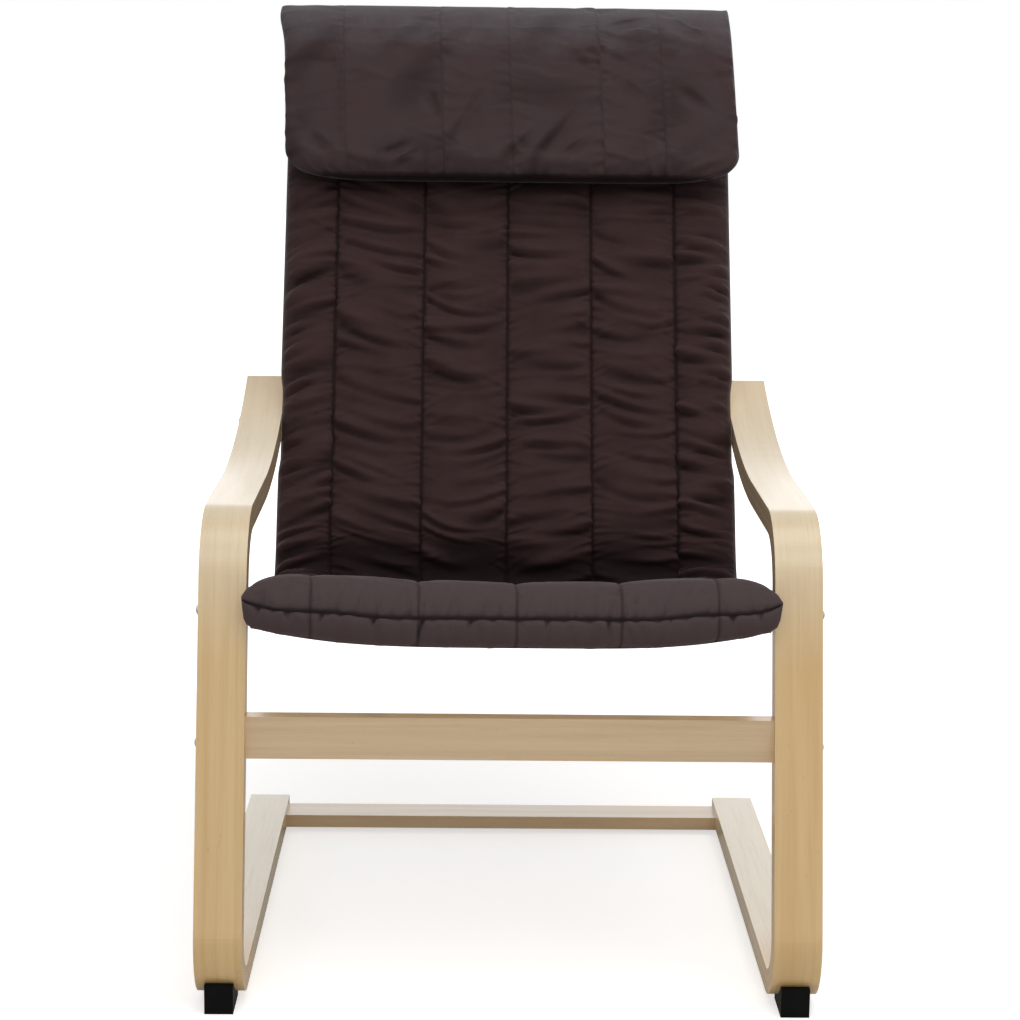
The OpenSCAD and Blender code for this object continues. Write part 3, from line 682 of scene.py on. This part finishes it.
def seam_puckers(across, along, lines, start, end, pitch, size, seed):
    """Short folds that fan out from each side of a seam."""
    chance = random.Random(seed)
    height = np.zeros_like(across)
    for line in lines:
        for side in (-1, 1):
            away = side * (across - line)
            place = start
            while place < end:
                place += pitch * chance.uniform(0.5, 1.7)
                reach = chance.uniform(*PUCKER_REACH)
                slope = chance.uniform(-0.5, 0.5)
                width = pitch * chance.uniform(0.20, 0.36)
                z = (along - place - slope * away) / width
                fade = np.where(away >= 0, np.exp(-away / reach), 0)
                fade = fade * np.clip(away / PUCKER_START, 0, 1)
                height += chance.uniform(0.3, 1.2) * size * ridge(z) * fade
    return height


def drawn_folds(across, along, strokes):
    """Folds along given strokes: two ends, a width and a height."""
    height = np.zeros_like(across)
    for (x0, y0), (x1, y1), width, size in strokes:
        length = math.hypot(x1 - x0, y1 - y0)
        ux, uy = (x1 - x0) / length, (y1 - y0) / length
        t = ((across - x0) * ux + (along - y0) * uy) / length
        z = ((along - y0) * ux - (across - x0) * uy) / width
        fade = eased(t / 0.35) * eased((1 - t) / 0.65)
        height += size * ridge(z * (0.7 + 0.6 * np.clip(t, 0, 1))) * fade
    return height


def sheet_grid(name, grid):
    """A grid of quads as a mesh object."""
    rows, cols = grid.shape[:2]
    index = np.arange(rows * cols).reshape(rows, cols)
    quads = np.stack((index[:-1, :-1], index[:-1, 1:], index[1:, 1:], index[1:, :-1]), -1)
    mesh = bpy.data.meshes.new(name)
    mesh.from_pydata(grid.reshape(-1, 3).tolist(), [], quads.reshape(-1, 4).tolist())
    return bpy.data.objects.new(name, mesh)


CLOTH_SETTINGS = {
    "quality": 6, "mass": 0.25, "air_damping": 2.0, "tension_stiffness": 20,
    "compression_stiffness": 20, "shear_stiffness": 8, "bending_stiffness": 0.6,
    "vertex_group_mass": "held", "pin_stiffness": 1.0, "use_pressure": True}


def relaxed(grid, pattern, held, pressure, frames, cap, stretch):
    """The grid after cloth simulation; held points stay, and no point moves beyond the cap."""
    sheet = sheet_grid("relaxing", grid)
    scene = bpy.context.scene
    scene.collection.objects.link(sheet)
    group = sheet.vertex_groups.new(name="held")
    group.add(np.flatnonzero(held.ravel()).tolist(), 1.0, "REPLACE")
    sheet.shape_key_add(name="shape")
    cut = sheet.shape_key_add(name="cut")
    flat = np.zeros((held.size, 3))
    flat[:, :2] = pattern.reshape(-1, 2) * np.array(stretch)
    cut.data.foreach_set("co", flat.ravel())
    cut.value = 0.0
    simulation = sheet.modifiers.new("cloth", "CLOTH")
    for key, value in CLOTH_SETTINGS.items():
        setattr(simulation.settings, key, value)
    simulation.settings.uniform_pressure_force = pressure
    simulation.settings.rest_shape_key = cut
    simulation.settings.effector_weights.gravity = 0
    simulation.collision_settings.use_collision = False
    simulation.point_cache.frame_start = 1
    simulation.point_cache.frame_end = frames
    for number in range(1, frames + 1):
        scene.frame_set(number)
    graph = bpy.context.evaluated_depsgraph_get()
    moved = np.empty(held.size * 3)
    sheet.evaluated_get(graph).data.vertices.foreach_get("co", moved)
    bpy.data.objects.remove(sheet)
    scene.frame_set(1)
    move = moved.reshape(grid.shape) - grid
    length = np.linalg.norm(move, axis=-1, keepdims=True)
    return grid + move * np.minimum(1, cap / np.maximum(length, 1e-9))


def finer(grid):
    """The grid with a point added between each two, on a smooth curve through its neighbours."""
    for axis in (0, 1):
        grid = np.swapaxes(grid, 0, axis)
        ends = np.concatenate((2 * grid[:1] - grid[1:2], grid, 2 * grid[-1:] - grid[-2:-1]))
        between = (9 * (ends[1:-2] + ends[2:-1]) - ends[:-3] - ends[3:]) / 16
        dense = np.empty((2 * len(grid) - 1, *grid.shape[1:]))
        dense[::2] = grid
        dense[1::2] = between
        grid = np.swapaxes(dense, 0, axis)
    return grid


def raised(grid, height):
    """The grid with its points moved out of the cloth; its rim stays."""
    down, across = np.gradient(grid, axis=(0, 1))
    out = np.cross(across, down)
    out /= np.linalg.norm(out, axis=-1, keepdims=True)
    height = height.copy()
    height[[0, -1], :] = 0
    height[:, [0, -1]] = 0
    return grid + out * height[..., None]


def sewn(name, top, bottom, pattern, top_folds, bottom_folds):
    """One closed mesh from two grids that share their rim; an attribute stores painted shade for the
    dips of its folds and the given shades, and painted highlight for its crests.
    """
    rows, cols = top.shape[:2]
    rim = np.ones((rows, cols), bool)
    rim[1:-1, 1:-1] = False
    upper = np.arange(rows * cols).reshape(rows, cols)
    lower = upper.copy()
    lower[~rim] = rows * cols + np.arange((~rim).sum())
    co = np.concatenate((top.reshape(-1, 3), bottom[~rim]))
    faces, uvs = [], []
    for index, flip in ((upper, 1), (lower, -1)):
        corners = [index[:-1, :-1], index[:-1, 1:], index[1:, 1:], index[1:, :-1]][::flip]
        places = [pattern[:-1, :-1], pattern[:-1, 1:], pattern[1:, 1:], pattern[1:, :-1]][::flip]
        faces.append(np.stack(corners, -1).reshape(-1, 4))
        uvs.append(np.stack(places, -2).reshape(-1, 2))
    mesh = bpy.data.meshes.new(name)
    mesh.from_pydata(co.tolist(), [], np.concatenate(faces).tolist())
    layer = mesh.uv_layers.new(name="pattern")
    layer.data.foreach_set("uv", np.concatenate(uvs).ravel())
    # Painted shade and highlight, stored per point
    painted_shade = mesh.attributes.new("painted_shade", "FLOAT", "POINT")
    depth = np.concatenate((top_folds.ravel(), bottom_folds[~rim])) / -FULL_SHADE_DEPTH
    painted_shade.data.foreach_set("value", np.clip(depth, -1, 1))
    mesh.polygons.foreach_set("use_smooth", np.ones(len(mesh.polygons), bool))
    piece = bpy.data.objects.new(name, mesh)
    bpy.context.scene.collection.objects.link(piece)
    return piece


def held_points(pattern, lines):
    """The rim and the seams."""
    held = np.zeros(pattern.shape[:2], bool)
    held[[0, -1], :] = True
    held[:, [0, -1]] = True
    for line in lines:
        held |= np.abs(pattern[..., 0] - line) < 1e-6
    return held


def soft_piece(name, node, body, material, sheets):
    piece = sewn(name, *sheets)
    piece.data.materials.append(material)
    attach(piece, body)
    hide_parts(node)


# The long cushion

def half_width(s):
    """Half of the cushion's width; it is drawn in where it passes the legs and the arms."""
    arm_s = rail.length_at(*centre_of("arm_bolts")[1:])
    beside_leg = (eased((s - LEG_SPAN[0]) / LEG_EASE[0])
                  * eased((LEG_SPAN[1] - s) / LEG_EASE[1]))
    beside_arm = (eased((s - arm_s - ARM_SPAN[0]) / ARM_EASE)
                  * eased((arm_s + ARM_SPAN[1] - s) / ARM_EASE))
    free = FREE_HALF + (FRONT_HALF - FREE_HALF) * eased((WIDE_FRONT_S - s) / WIDE_FRONT_EASE)
    return free - (free - HELD_HALF) * np.maximum(beside_leg, beside_arm)


def crown(x):
    """Height of the seams over the rails' face, across the cushion."""
    a = np.abs(x)
    last = SEAMS[-1]
    inner = CROWN_MID + (CROWN_SIDE - CROWN_MID) * (a / last) ** 2 - SEAM_DEPTH
    q = np.clip((a - last) / (cushion_half - last), 0, 1)
    outer = EDGE_H + (CROWN_SIDE - SEAM_DEPTH - EDGE_H) * (1 - q ** 2.6) ** 0.5
    return np.where(a <= last, inner, outer)


def edge_puff(x):
    """Padding of the outermost channels, between the last seam and the rim."""
    a = np.abs(x)
    t = np.clip(2 * (a - SEAMS[-1]) / (cushion_half - SEAMS[-1]) - 1, -1, 1)
    return np.where(a > SEAMS[-1], (1 - np.abs(t) ** 2.4) ** 0.55, 0)


def corner(x):
    """0 over most of the front and 1 at the cushion's corners."""
    return np.clip((np.abs(x) - SEAMS[-1]) / (cushion_half - SEAMS[-1]), 0, 1)


def drifted(x, s):
    """Where the pattern's place x lies on the sewn cushion, whose seams wander."""
    back = eased((s - DRIFT_S) / DRIFT_EASE)
    nominal = (-cushion_half, *SEAMS, cushion_half)
    front_move = np.interp(x, nominal, (0, *SEAM_DRIFT_FRONT, 0))
    back_move = np.interp(x, nominal, (0, *SEAM_DRIFT_BACK, 0))
    return x + front_move * (1 - back) + back_move * back


def pipe_height(u):
    """Height of the seam along the seat's front edge."""
    near_side = eased((np.abs(u) - SIDE_RISE_X) / SIDE_RISE_EASE)
    return PIPE_H + SIDE_RISE * near_side + CORNER_RISE * corner(u) ** 3


def on_back(s, early=0.0):
    """0 on the seat and 1 on the back."""
    return eased((s - rail.seat_l + early) / rail.bend_l)


def under_flap(s):
    """1 where the flap covers the cushion."""
    return eased((s - seam_s + COVERED_L) / COVERED_EASE)


def cushion_place(v, u):
    """Length along the rails, place across and turn round the roll, of the pattern's points."""
    turn = np.clip(v / ROLL_ARC, 0, 1) * math.pi / 2
    reach = ROLL_REACH - CORNER_PULL * corner(u) ** 4
    s = np.where(v < ROLL_ARC, ROLL_S - reach * np.cos(turn), ROLL_S + v - ROLL_ARC)
    s = s + PIPE_GROOVE * np.exp(-(v / PIPE_GROOVE_W) ** 2)
    x = drifted(u, s)
    x = x + np.sign(u) * (half_width(s) - cushion_half) * corner(u) ** 2
    x = x + FRONT_SHIFT * eased((BORDER_S - s) / FRONT_SHIFT_EASE)
    return s, x, turn


def crease_height(s, u):
    """Height of the crease between seat and back and of the bulges beside it."""
    away = s - CREASE_S
    crease = np.exp(-(away / CREASE_W) ** 2)
    bulges = (np.exp(-((away - BULGE_AWAY) / BULGE_W) ** 2)
              + 0.8 * np.exp(-((away + BULGE_AWAY) / BULGE_W) ** 2))
    pinch = CREASE_DEPTH * (1 - 0.5 * np.minimum(np.abs(u) / SEAMS[-1], 1) ** 2)
    return (1 - 0.7 * corner(u)) * (BULGE_H * bulges - pinch * crease)


def cushion_top(v, u):
    """Height of the sitting side over the rails' face."""
    s, _, turn = cushion_place(v, u)
    back = on_back(s)
    padding = SEAT_PUFF + BACK_PUFF * back - COVERED_PUFF_LOSS * under_flap(s)
    height = crown(u) + padding * puff(u, SEAMS)
    height = height + (EDGE_BULGE - SEAT_BULGE_LOSS * (1 - back)) * edge_puff(u)
    height = height + crease_height(s, u)
    taper = np.clip((s - cushion_end + TOP_TAPER) / TOP_TAPER, 0, 1)
    height = height + (TOP_EDGE_H - height) * taper ** 2
    pipe_h = pipe_height(u)
    front = pipe_h + (height - pipe_h) * np.sin(turn) ** 0.9
    return np.where(v < ROLL_ARC, front, height)


def cushion_bottom(v, u):
    """Length along the rails and height of the underside: border, first slats and rails."""
    s, x, turn = cushion_place(v, u)
    top = cushion_top(v, u)
    low_h = BORDER_H + BORDER_LIFT * (u / cushion_half) ** 4
    bed = np.where(np.abs(x) > RAIL_IN_X - BED_RAIL_IN, BED_SIDE,
                   BED_MID + (BED_SIDE - BED_SLOPE_LOSS - BED_MID) * (x / RAIL_IN_X) ** 2)
    slat_end = SLAT_SPAN[-1]
    below_s = np.interp(s, (ROLL_S, *SLAT_SPAN), (BORDER_S, SLAT_FRONT_S, SLAT_FRONT_S, slat_end))
    below_s = np.where(v < ROLL_ARC, np.minimum(s, BORDER_S), np.where(s > slat_end, s, below_s))
    below = low_h + (bed - low_h) * eased((s - SLAT_SPAN[0]) / BED_EASE)
    pipe_h = pipe_height(u)
    below = np.where(v < ROLL_ARC, pipe_h + (low_h - pipe_h) * np.sin(turn), below)
    end = np.clip((s - cushion_end + END_ROUND) / END_ROUND, 0, 1)
    below = below + (TOP_EDGE_H - below) * (1 - np.sqrt(1 - end ** 2))
    edge_w = np.where(v < ROLL_ARC, BORDER_EDGE, SIDE_EDGE)
    edge = np.clip((np.abs(u) - cushion_half + edge_w) / edge_w, 0, 1)
    edge = 1 - np.sqrt(1 - edge ** 2)
    return below_s + (s - below_s) * edge, below + (top - below) * edge


def cushion_folds(u, v):
    """Height of the folds on the sitting side."""
    s, _, _ = cushion_place(v, u)
    length = v.max()
    back = on_back(s, early=FOLD_EARLY)
    lines = (-cushion_half, *SEAMS, cushion_half)
    waves = hanging_folds(u, v, lines, FOLD_START, length - FOLD_END, FOLD_PITCH, FOLD_SIZE,
                          seed=11)
    broad = hanging_folds(u, v, lines, BROAD_FOLD_S, length - FOLD_END, BROAD_FOLD_PITCH,
                          BROAD_FOLD_SIZE, seed=29)
    pulls = seam_puckers(u, v, lines, 0.0, length, PUCKER_PITCH, PUCKER_SIZE, seed=3)
    front = seam_puckers(v, u, (0.0,), -cushion_half, cushion_half, FRONT_PUCKER_PITCH,
                         FRONT_PUCKER_SIZE, seed=41)
    loose = back * (1 - 0.6 * under_flap(s))
    waves = waves * (0.12 + 0.88 * loose) + broad * loose
    folds = waves + pulls * (0.35 + 0.65 * back) + front
    return folds * np.clip((cushion_half - np.abs(u)) / RIM_CALM, 0, 1)


def border_gathers(u, v):
    """Height of the gathers of the border below the front seam, and of its bulges."""
    gathers = seam_puckers(v, u, (0.0,), -cushion_half, cushion_half, GATHER_PITCH,
                           GATHER_SIZE, seed=5)
    chance = random.Random(13)
    for place in DARTS:
        fade = np.clip(v / DART_START, 0, 1) * np.exp(-v / chance.uniform(*DART_REACH))
        slant = place + v * chance.uniform(-0.3, 0.2)
        gathers = gathers - DART_DEPTH * np.exp(-((u - slant) / DART_W) ** 2) * fade
    bulge = BORDER_BULGE * puff(u, (-cushion_half, *SEAMS, cushion_half)) * np.sin(
        math.pi * np.clip(v / ROLL_ARC, 0, 1))
    return np.where(v < ROLL_ARC, gathers + bulge, 0)


def cushion_shades(u, v):
    """Depths of painted shade at the piping seam, of painted shade in the crease and of painted shadow
    on the cloth under the flap; they darken the cushion's colour without moving it.
    """
    s, _, _ = cushion_place(v, u)
    crease = np.exp(-((s - CREASE_SHADE_S) / CREASE_SHADE_W) ** 2) * (1 - 0.6 * corner(u))
    covered = eased((s - seam_s + FLAP_L + COVERED_SHADE_RIM) / COVERED_SHADE_W)
    pipe = PIPE_SHADE * np.exp(-(v / PIPE_SHADE_W) ** 2)
    return pipe, CREASE_SHADE * crease + COVERED_SHADE * covered


def long_cushion():
    length = ROLL_ARC + cushion_end - ROLL_S
    v = np.linspace(0, length, round(length / GRID) + 1)[:, None]
    u = seam_columns(SEAMS, cushion_half, GRID)[None, :]
    v, u = np.broadcast_arrays(v, u)
    pattern = np.stack((u, v), -1)
    s, x, _ = cushion_place(v, u)
    top = points(x, s, cushion_top(v, u))
    bottom = points(x, *cushion_bottom(v, u))
    top = relaxed(top, pattern, held_points(pattern, SEAMS), pressure=4.0, frames=20,
                  cap=0.008, stretch=(1.03, 1.05))
    top, bottom, pattern = finer(top), finer(bottom), finer(pattern)
    u, v = pattern[..., 0], pattern[..., 1]
    folds, gathers = cushion_folds(u, v), border_gathers(u, v)
    top = raised(top, folds)
    bottom = raised(bottom, -gathers)
    pipe, shade = cushion_shades(u, v)
    # Painted shade and highlight: the last two entries only darken the fold dips, lighten the crests,
    # and add the painted shade of the piping seam, the crease and under the flap
    sheets = (top, bottom, pattern, folds - pipe - shade, gathers - pipe)
    soft_piece("quilted_cushion", "long_cushion", "chair", cloth, sheets)


# The head flap

def flap_half_at(t):
    """Half of the flap's width at the length t below its hinge."""
    drop = np.clip((t - FLAP_HEM_T + FLAP_CORNER_H) / FLAP_CORNER_H, 0, 0.999)
    return FLAP_HALF - FLAP_CORNER_W * (1 - np.sqrt(1 - drop ** 2))


def flap_across(u, t):
    """Place across, of the pattern's points; only the sides follow the rounded corners."""
    q = np.abs(u) / flap_half
    pulled = (flap_half - flap_half_at(t)) * q ** 7
    ear = FLAP_EAR * np.exp(-((t - FLAP_EAR_T) / FLAP_EAR_W) ** 2) * q ** 12 * (u < 0)
    return np.sign(u) * (np.abs(u) - pulled + ear) + FLAP_SWING * (t / FLAP_L - 0.3)


def flap_puff(u):
    return puff(u, (-flap_half, *FLAP_SEAMS, flap_half))


def flap_section(t, k, u, side):
    """Height of the flap over the rails' face, t below its hinge; k runs -1 to 1 through it."""
    reach = np.clip(1 - (t + SEAM_ROLL_R) / FLAP_ROOT, 0, 1)
    half_t = FLAP_T / 2 * np.sqrt(np.clip(1 - reach ** 2, 0, 1))
    base = SEAM_H + (CROWN_SIDE + FLAP_CLEAR - SEAM_H) * np.clip(t / FLAP_END, 0, 1)
    dips = 1 - np.where(k > 0, FLAP_SEAM_DIP, 0.0) * (1 - flap_puff(u))
    return base + half_t + half_t * k * side * dips, base + half_t


def flap_rows(face):
    """Lengths below the hinge and places through the flap, of the rows of one of its faces."""
    straight = FLAP_L - FLAP_END
    count = round(FLAP_L / GRID)
    body_t = -SEAM_ROLL_R + (straight + SEAM_ROLL_R) * np.linspace(0, 1, count) ** 1.35
    turn = np.linspace(face * math.pi / 2, FLAP_SEAM_TURN, FLAP_CAP_ROWS + 1)[1:]
    t = np.concatenate((body_t, straight + FLAP_END * np.cos(turn)))
    k = np.concatenate((face * np.ones(count), np.sin(turn)))
    return t[:, None], k[:, None]


def flap_sheets():
    """The front and the back of the head flap, from the hinge roll to its lower seam."""
    front_t, front_k = flap_rows(1)
    back_t, back_k = flap_rows(-1)
    u = seam_columns(FLAP_SEAMS, flap_half, GRID)[None, :]
    q = np.abs(u) / flap_half
    side = (1 - q ** 9) ** (1 / 2.6)
    back_t = back_t + (front_t - back_t) * q ** 8
    tip = FLAP_TIP * q ** 12 * (u > 0)
    front_t = front_t - tip * np.exp(-(front_t / FLAP_TIP_W) ** 2)
    back_t = back_t - tip * np.exp(-(back_t / FLAP_TIP_W) ** 2)
    front_h, middle = flap_section(front_t, front_k, u, side)
    back_h, _ = flap_section(back_t, back_k, u, side)
    back_h = np.where(back_t < FLAP_HELD_T, np.maximum(back_h, middle - SEAM_ROLL_R), back_h)
    front = points(flap_across(u, front_t), seam_s - front_t, front_h)
    back = points(flap_across(u, back_t), seam_s - back_t, back_h)
    for edge in ((0, slice(None)), (-1, slice(None)), (slice(None), 0), (slice(None), -1)):
        back[edge] = front[edge]
    pattern = np.stack(np.broadcast_arrays(u, front_t), -1)
    return front, back, pattern


def flap_folds(u, t):
    """Height of the folds on the flap's front; one seam pulls more than the others."""
    folds = FLAP_FOLD_GAIN * drawn_folds(u, t, FLAP_FOLDS)
    length = (-0.01, FLAP_L)
    pulls = seam_puckers(u, t, FLAP_SEAMS, *length, *FLAP_PUCKERS, seed=8)
    strong = seam_puckers(u, t, FLAP_SEAMS[3:4], *length, *STRONG_PUCKERS, seed=21)
    sides = seam_puckers(u, t, (-flap_half, flap_half), *length, *SIDE_PUCKERS, seed=33)
    hem = seam_puckers(FLAP_HEM_T - t, u, (0.0,), -flap_half, flap_half, *HEM_PUCKERS, seed=17)
    slack = FLAP_SLACK * np.sin(38 * u + 3 * np.sin(21 * t + 9 * u)) * np.sin(31 * t + 17 * u)
    slack = slack * eased(t / FLAP_SLACK_EASE)
    return folds + pulls + strong + sides + hem + slack


def head_flap():
    front, back, pattern = flap_sheets()
    held = held_points(pattern, FLAP_SEAMS) | (pattern[..., 1] < FLAP_HELD_T)
    front = relaxed(front, pattern, held, pressure=3.0, frames=16, cap=0.006,
                    stretch=(1.02, 1.03))
    front, back, pattern = finer(front), finer(back), finer(pattern)
    u, t = pattern[..., 0], pattern[..., 1]
    folds = flap_folds(u, t)
    front = raised(front, folds)
    # Painted shade on the strip below the hem seam and on the underside near the hem; the last two
    # entries of sheets set only painted shade and highlight
    hem = HEM_SHADE * eased((t - FLAP_HEM_T + HEM_SHADE_W) / HEM_SHADE_W)
    underside = UNDERSIDE_SHADE * eased((t - UNDERSIDE_SHADE_T) / UNDERSIDE_SHADE_W)
    sheets = (front, back, pattern, folds - hem, -underside)
    soft_piece("quilted_head_flap", "head_flap", "head_flap", flap_cloth, sheets)


# Wood, metal and plastic pieces keep their CAD meshes

def round_edges(piece, width):
    """Merges the flat triangles, then rounds the edges."""
    flat = piece.modifiers.new("merge_flats", "DECIMATE")
    flat.decimate_type = "DISSOLVE"
    flat.angle_limit = math.radians(0.8)
    bevel = piece.modifiers.new("round_edges", "BEVEL")
    bevel.width = width
    bevel.segments = 3
    bevel.limit_method = "ANGLE"
    bevel.angle_limit = math.radians(40)
    bevel.use_clamp_overlap = False
    bevel.harden_normals = False


def finish_node(name, material, edge=None):
    piece = nodes[name]
    piece.data.materials.clear()
    piece.data.materials.append(material)
    if edge:
        round_edges(piece, edge)


def dress_nodes():
    frame_wood = birch("bent_birch", (1.0, 0.03, 0.03), FRAME_TINTS, frame_depth, painted_highlight_veneer)
    rail_wood = birch("rail_birch", (1.0, 0.03, 0.03), FRAME_TINTS, rail_depth)
    bar_wood = birch("bar_birch", (0.05, 1.0, 1.0), BAR_TINTS)
    slat_wood = birch("slat_birch", (0.05, 1.0, 1.0), FRAME_TINTS)
    dowel_wood = birch("dowel_beech", (0.05, 1.0, 1.0), DOWEL_TINTS)
    steel = brushed_steel("bolt_steel", srgb(196, 198, 202), 0.30)
    zinc = brushed_steel("zinc_steel", srgb(170, 172, 172), 0.40)
    plastic = moulded_plastic("black_plastic")
    strap = webbing("webbing")
    for name in nodes:
        if name.endswith("side_frame"):
            finish_node(name, frame_wood, FRAME_EDGE)
        elif name.endswith("seat_rail"):
            finish_node(name, rail_wood, RAIL_EDGE)
        elif name in ("front_crossbar", "rear_stretcher"):
            finish_node(name, bar_wood, BAR_EDGE)
        elif "slat" in name:
            finish_node(name, slat_wood, SLAT_EDGE)
        elif name.endswith("dowels"):
            finish_node(name, dowel_wood)
        elif name.endswith("bolts"):
            finish_node(name, steel)
        elif name.endswith(("nuts", "screws")):
            finish_node(name, zinc)
        elif name.endswith(("foot", "glide")):
            finish_node(name, plastic, FOOT_EDGE)
        elif name == "cushion_straps":
            finish_node(name, strap)


# Floor, light and camera

# Lamps: place, target, size and power
LAMPS = {
    "overhead": ((0.3, -0.5, 2.9), (0, 0, 0.4), (2.2, 1.2), 18),
    "key": ((0.4, -1.8, 2.4), (0, -0.1, 0.5), (2.8, 1.0), 15),
    "front": ((0.3, -4.2, 1.35), (0, 0, 0.5), (6.0, 2.4), 20),
    "back": ((0.6, 3.4, 1.2), (0, 0, 0.5), (5.0, 1.8), 18),
    "left": ((-3.2, -0.6, 1.3), (0, 0, 0.5), (2.4, 1.8), 9),
    "right": ((3.2, -0.6, 1.3), (0, 0, 0.5), (2.4, 1.8), 9)}
SKY_LIGHT = 0.24
# Distances from the chair over which the floor turns plain white to the camera
FLOOR_FADE = (0.6, 1.2)
FLOOR_GLOW_NEAR = 0.60


def add_floor():
    bpy.ops.mesh.primitive_plane_add(size=24, location=(0, 0, 0))
    floor = bpy.context.object
    floor.name = "floor"
    material, tree, shader = new_material("floor", Roughness=0.9)
    shader.inputs["Base Color"].default_value = (0.88, 0.88, 0.88, 1)
    rays = add(tree, "ShaderNodeLightPath")
    away = vector_maths(tree, "LENGTH", object_place(tree), out="Value")
    shown = remap(tree, away, *FLOOR_FADE, FLOOR_GLOW_NEAR, 1.0)
    glow = add(tree, "ShaderNodeEmission", {"Strength": maths(
        tree, "MULTIPLY", rays.outputs["Is Camera Ray"], shown)})
    both = add(tree, "ShaderNodeAddShader", {0: shader.outputs[0], 1: glow.outputs[0]})
    tree.links.new(both.outputs[0], tree.nodes["Material Output"].inputs["Surface"])
    floor.data.materials.append(material)


def add_world():
    world = bpy.data.worlds.new("studio")
    bpy.context.scene.world = world
    world.use_nodes = True
    tree = world.node_tree
    rays = add(tree, "ShaderNodeLightPath")
    seen = maths(tree, "MAXIMUM", rays.outputs["Is Camera Ray"], rays.outputs["Is Glossy Ray"])
    seen = maths(tree, "MAXIMUM", seen, rays.outputs["Is Transmission Ray"])
    strength = remap(tree, seen, 0.0, 1.0, SKY_LIGHT, 1.0)
    tree.links.new(strength, tree.nodes["Background"].inputs["Strength"])
    tree.nodes["Background"].inputs["Color"].default_value = (1, 1, 1, 1)


def add_lamp(name, place, target, size, power):
    lamp = bpy.data.lights.new(name, "AREA")
    lamp.shape = "RECTANGLE"
    lamp.size, lamp.size_y = size
    lamp.energy = power
    holder = bpy.data.objects.new(name, lamp)
    holder.location = place
    holder.rotation_euler = (Vector(target) - Vector(place)).to_track_quat("-Z", "Y").to_euler()
    bpy.context.scene.collection.objects.link(holder)


def add_camera():
    lens = bpy.data.cameras.new("camera")
    lens.lens = CAMERA_LENS
    lens.sensor_width = SENSOR
    holder = bpy.data.objects.new("camera", lens)
    turn = Matrix.Rotation(CAMERA_YAW, 4, "Z") @ Matrix.Rotation(math.pi / 2 - CAMERA_PITCH, 4, "X")
    holder.matrix_world = Matrix.Translation(CAMERA_PLACE) @ turn @ Matrix.Rotation(CAMERA_ROLL, 4, "Z")
    bpy.context.scene.collection.objects.link(holder)
    bpy.context.scene.camera = holder


add_camera()
cloth = quilted_cloth("brown_cotton", SEAMS, (0.0,), CLOTH, CLOTH_PAINTED_SHEEN,
                      CUSHION_SHEEN_SPAN, CUSHION_SEAM_SHADES)
flap_cloth = quilted_cloth("brown_cotton_flap", FLAP_SEAMS, (FLAP_HEM_T,), FLAP_CLOTH_PAINTED_SHEEN, FLAP_PAINTED_SHEEN,
                           FLAP_SHEEN_SPAN, FLAP_SEAM_SHADES)
long_cushion()
head_flap()
dress_nodes()
add_floor()
add_world()
for lamp_name, lamp_values in LAMPS.items():
    add_lamp(lamp_name, *lamp_values)
bpy.context.scene.view_settings.view_transform = "Standard"
